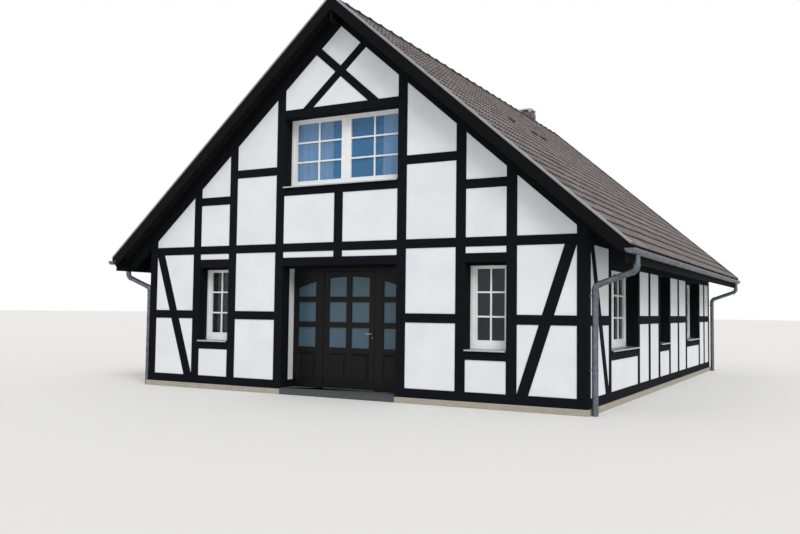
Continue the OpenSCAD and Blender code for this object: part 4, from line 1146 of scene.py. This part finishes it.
def netCurtain(name, span, y, c):
    # Net gathered on a rod: across, its folds are a sine whose phase drifts, shallow at the rod and deeper
    # down to the hem. The cut is as wide as that wavy line is long, half way down.
    width, length = span[1] - span[0], c["rodHeight"] - c["foot"]
    folds = round(width / c["fold"])
    across, down = np.meshgrid(np.linspace(0, 1, folds * 10 + 1), np.linspace(0, 1, c["rows"]))
    start = draw.uniform(0, 6)
    phase = 2 * math.pi * folds * across
    for (most, fast), way in ((c["drift"], across), (c["lean"], down)):
        phase = phase + most * np.sin(fast * way + start)
    x = span[0] + width * across + c["sway"] * down * np.sin(phase * 0.5 + start)
    depth = c["depth"] * (c["gathered"] + (1 - c["gathered"]) * down)
    points = np.stack([x, y + depth * np.sin(phase), c["rodHeight"] - length * down], -1)
    run = np.linalg.norm(np.diff(points[c["rows"] // 2], axis=0), axis=-1).cumsum()
    width = np.broadcast_to([0, *run], across.shape)
    cloth = np.stack([width, down * length, 0 * down], -1)
    piece = addPiece(name, points, [gridFaces(*across.shape)], whiteVoile, "white_frames", sharp=180,
                     attributes={"cloth": cloth.reshape(-1, 3)})
    thread = piece.modifiers.new("clothThickness", "SOLIDIFY")
    thread.thickness = c["thickness"]
    thread.offset = 0


def dressWindow(label, way, c):
    # one rod across the reveals, with both curtains on it
    y = way * (glassHigh.y - c["setback"])
    route = [[x, y, c["rodHeight"] + c["hang"]] for x in (-c["reach"], c["reach"])]
    bar = roundBar(route, c["rod"], (0, 1, 0), 12)
    rod = addPiece("curtainRod" + label, *bar, handleSteel, "handle_steel")
    for side, span in c["spans"].items():
        netCurtain("netCurtain" + label + side, span, y, c)


dressWindow("Front", -1, curtainSettings)
dressWindow("Back", 1, curtainSettings)
print("curtains hung")


# Floor, light and background

studio = {
    "floorColour": "#e9e8e5",
    "floorReach": 300,        # metres
    "sky": 0.62,              # strength of the even light from all round
    "keyStrength": 1.7,       # soft sun from the right of the camera
    "keyAngle": 28,           # degrees across, for soft shadow edges
    "keyTurn": 48,            # degrees from -Y towards +X
    "keyHeight": 42,          # degrees above level
}


def makeFloor(s):
    # a plain pale painted floor, level with the ground round the house
    material, add, place = startMaterial("paleStudioFloor")
    clouds = add("TexNoise", {"Vector": place, "Scale": perMetre(2500), "Detail": 2})
    gloss = add("MapRange", {"Value": clouds, "To Min": 0.85, "To Max": 0.95})
    mesh = bpy.data.meshes.new("studioFloor")
    corners = np.array([(-1, -1, 0), (1, -1, 0), (1, 1, 0), (-1, 1, 0)]) * s["floorReach"]
    mesh.from_pydata(corners.tolist(), [], [(0, 1, 2, 3)])
    mesh.materials.append(endMaterial(material, add, {"Base Color": s["floorColour"], "Roughness": gloss}))
    floor = bpy.data.objects.new("studioFloor", mesh)
    bpy.context.scene.collection.objects.link(floor)


def makeLight(s):
    sun = bpy.data.lights.new("softKey", "SUN")
    sun.energy = s["keyStrength"]
    sun.angle = math.radians(s["keyAngle"])
    key = bpy.data.objects.new("softKey", sun)
    turn = Matrix.Rotation(math.radians(s["keyTurn"]), 4, "Z")
    key.matrix_world = turn @ Matrix.Rotation(math.radians(90 - s["keyHeight"]), 4, "X")
    bpy.context.scene.collection.objects.link(key)


def makeWorld(s):
    # even white light; the camera, mirrors and glass see plain white instead
    world = bpy.data.worlds.new("studioWorld")
    add = emptyTree(world)
    path = add("LightPath").outputs
    seen = add("Math", {0: path["Is Camera Ray"], 1: path["Is Glossy Ray"]}, operation="MAXIMUM")
    shown = add("Math", {0: seen, 1: path["Is Transmission Ray"]}, operation="MAXIMUM")
    light = add("Background", {"Color": "#ffffff", "Strength": s["sky"]})
    white = add("Background", {"Color": "#ffffff", "Strength": 1.0})
    both = add("MixShader", {0: shown, 1: light, 2: white})
    add("OutputWorld", {"Surface": both})
    bpy.context.scene.world = world


makeFloor(studio)
makeLight(studio)
makeWorld(studio)
bpy.context.scene.view_settings.view_transform = "Standard"
print("floor and light made")
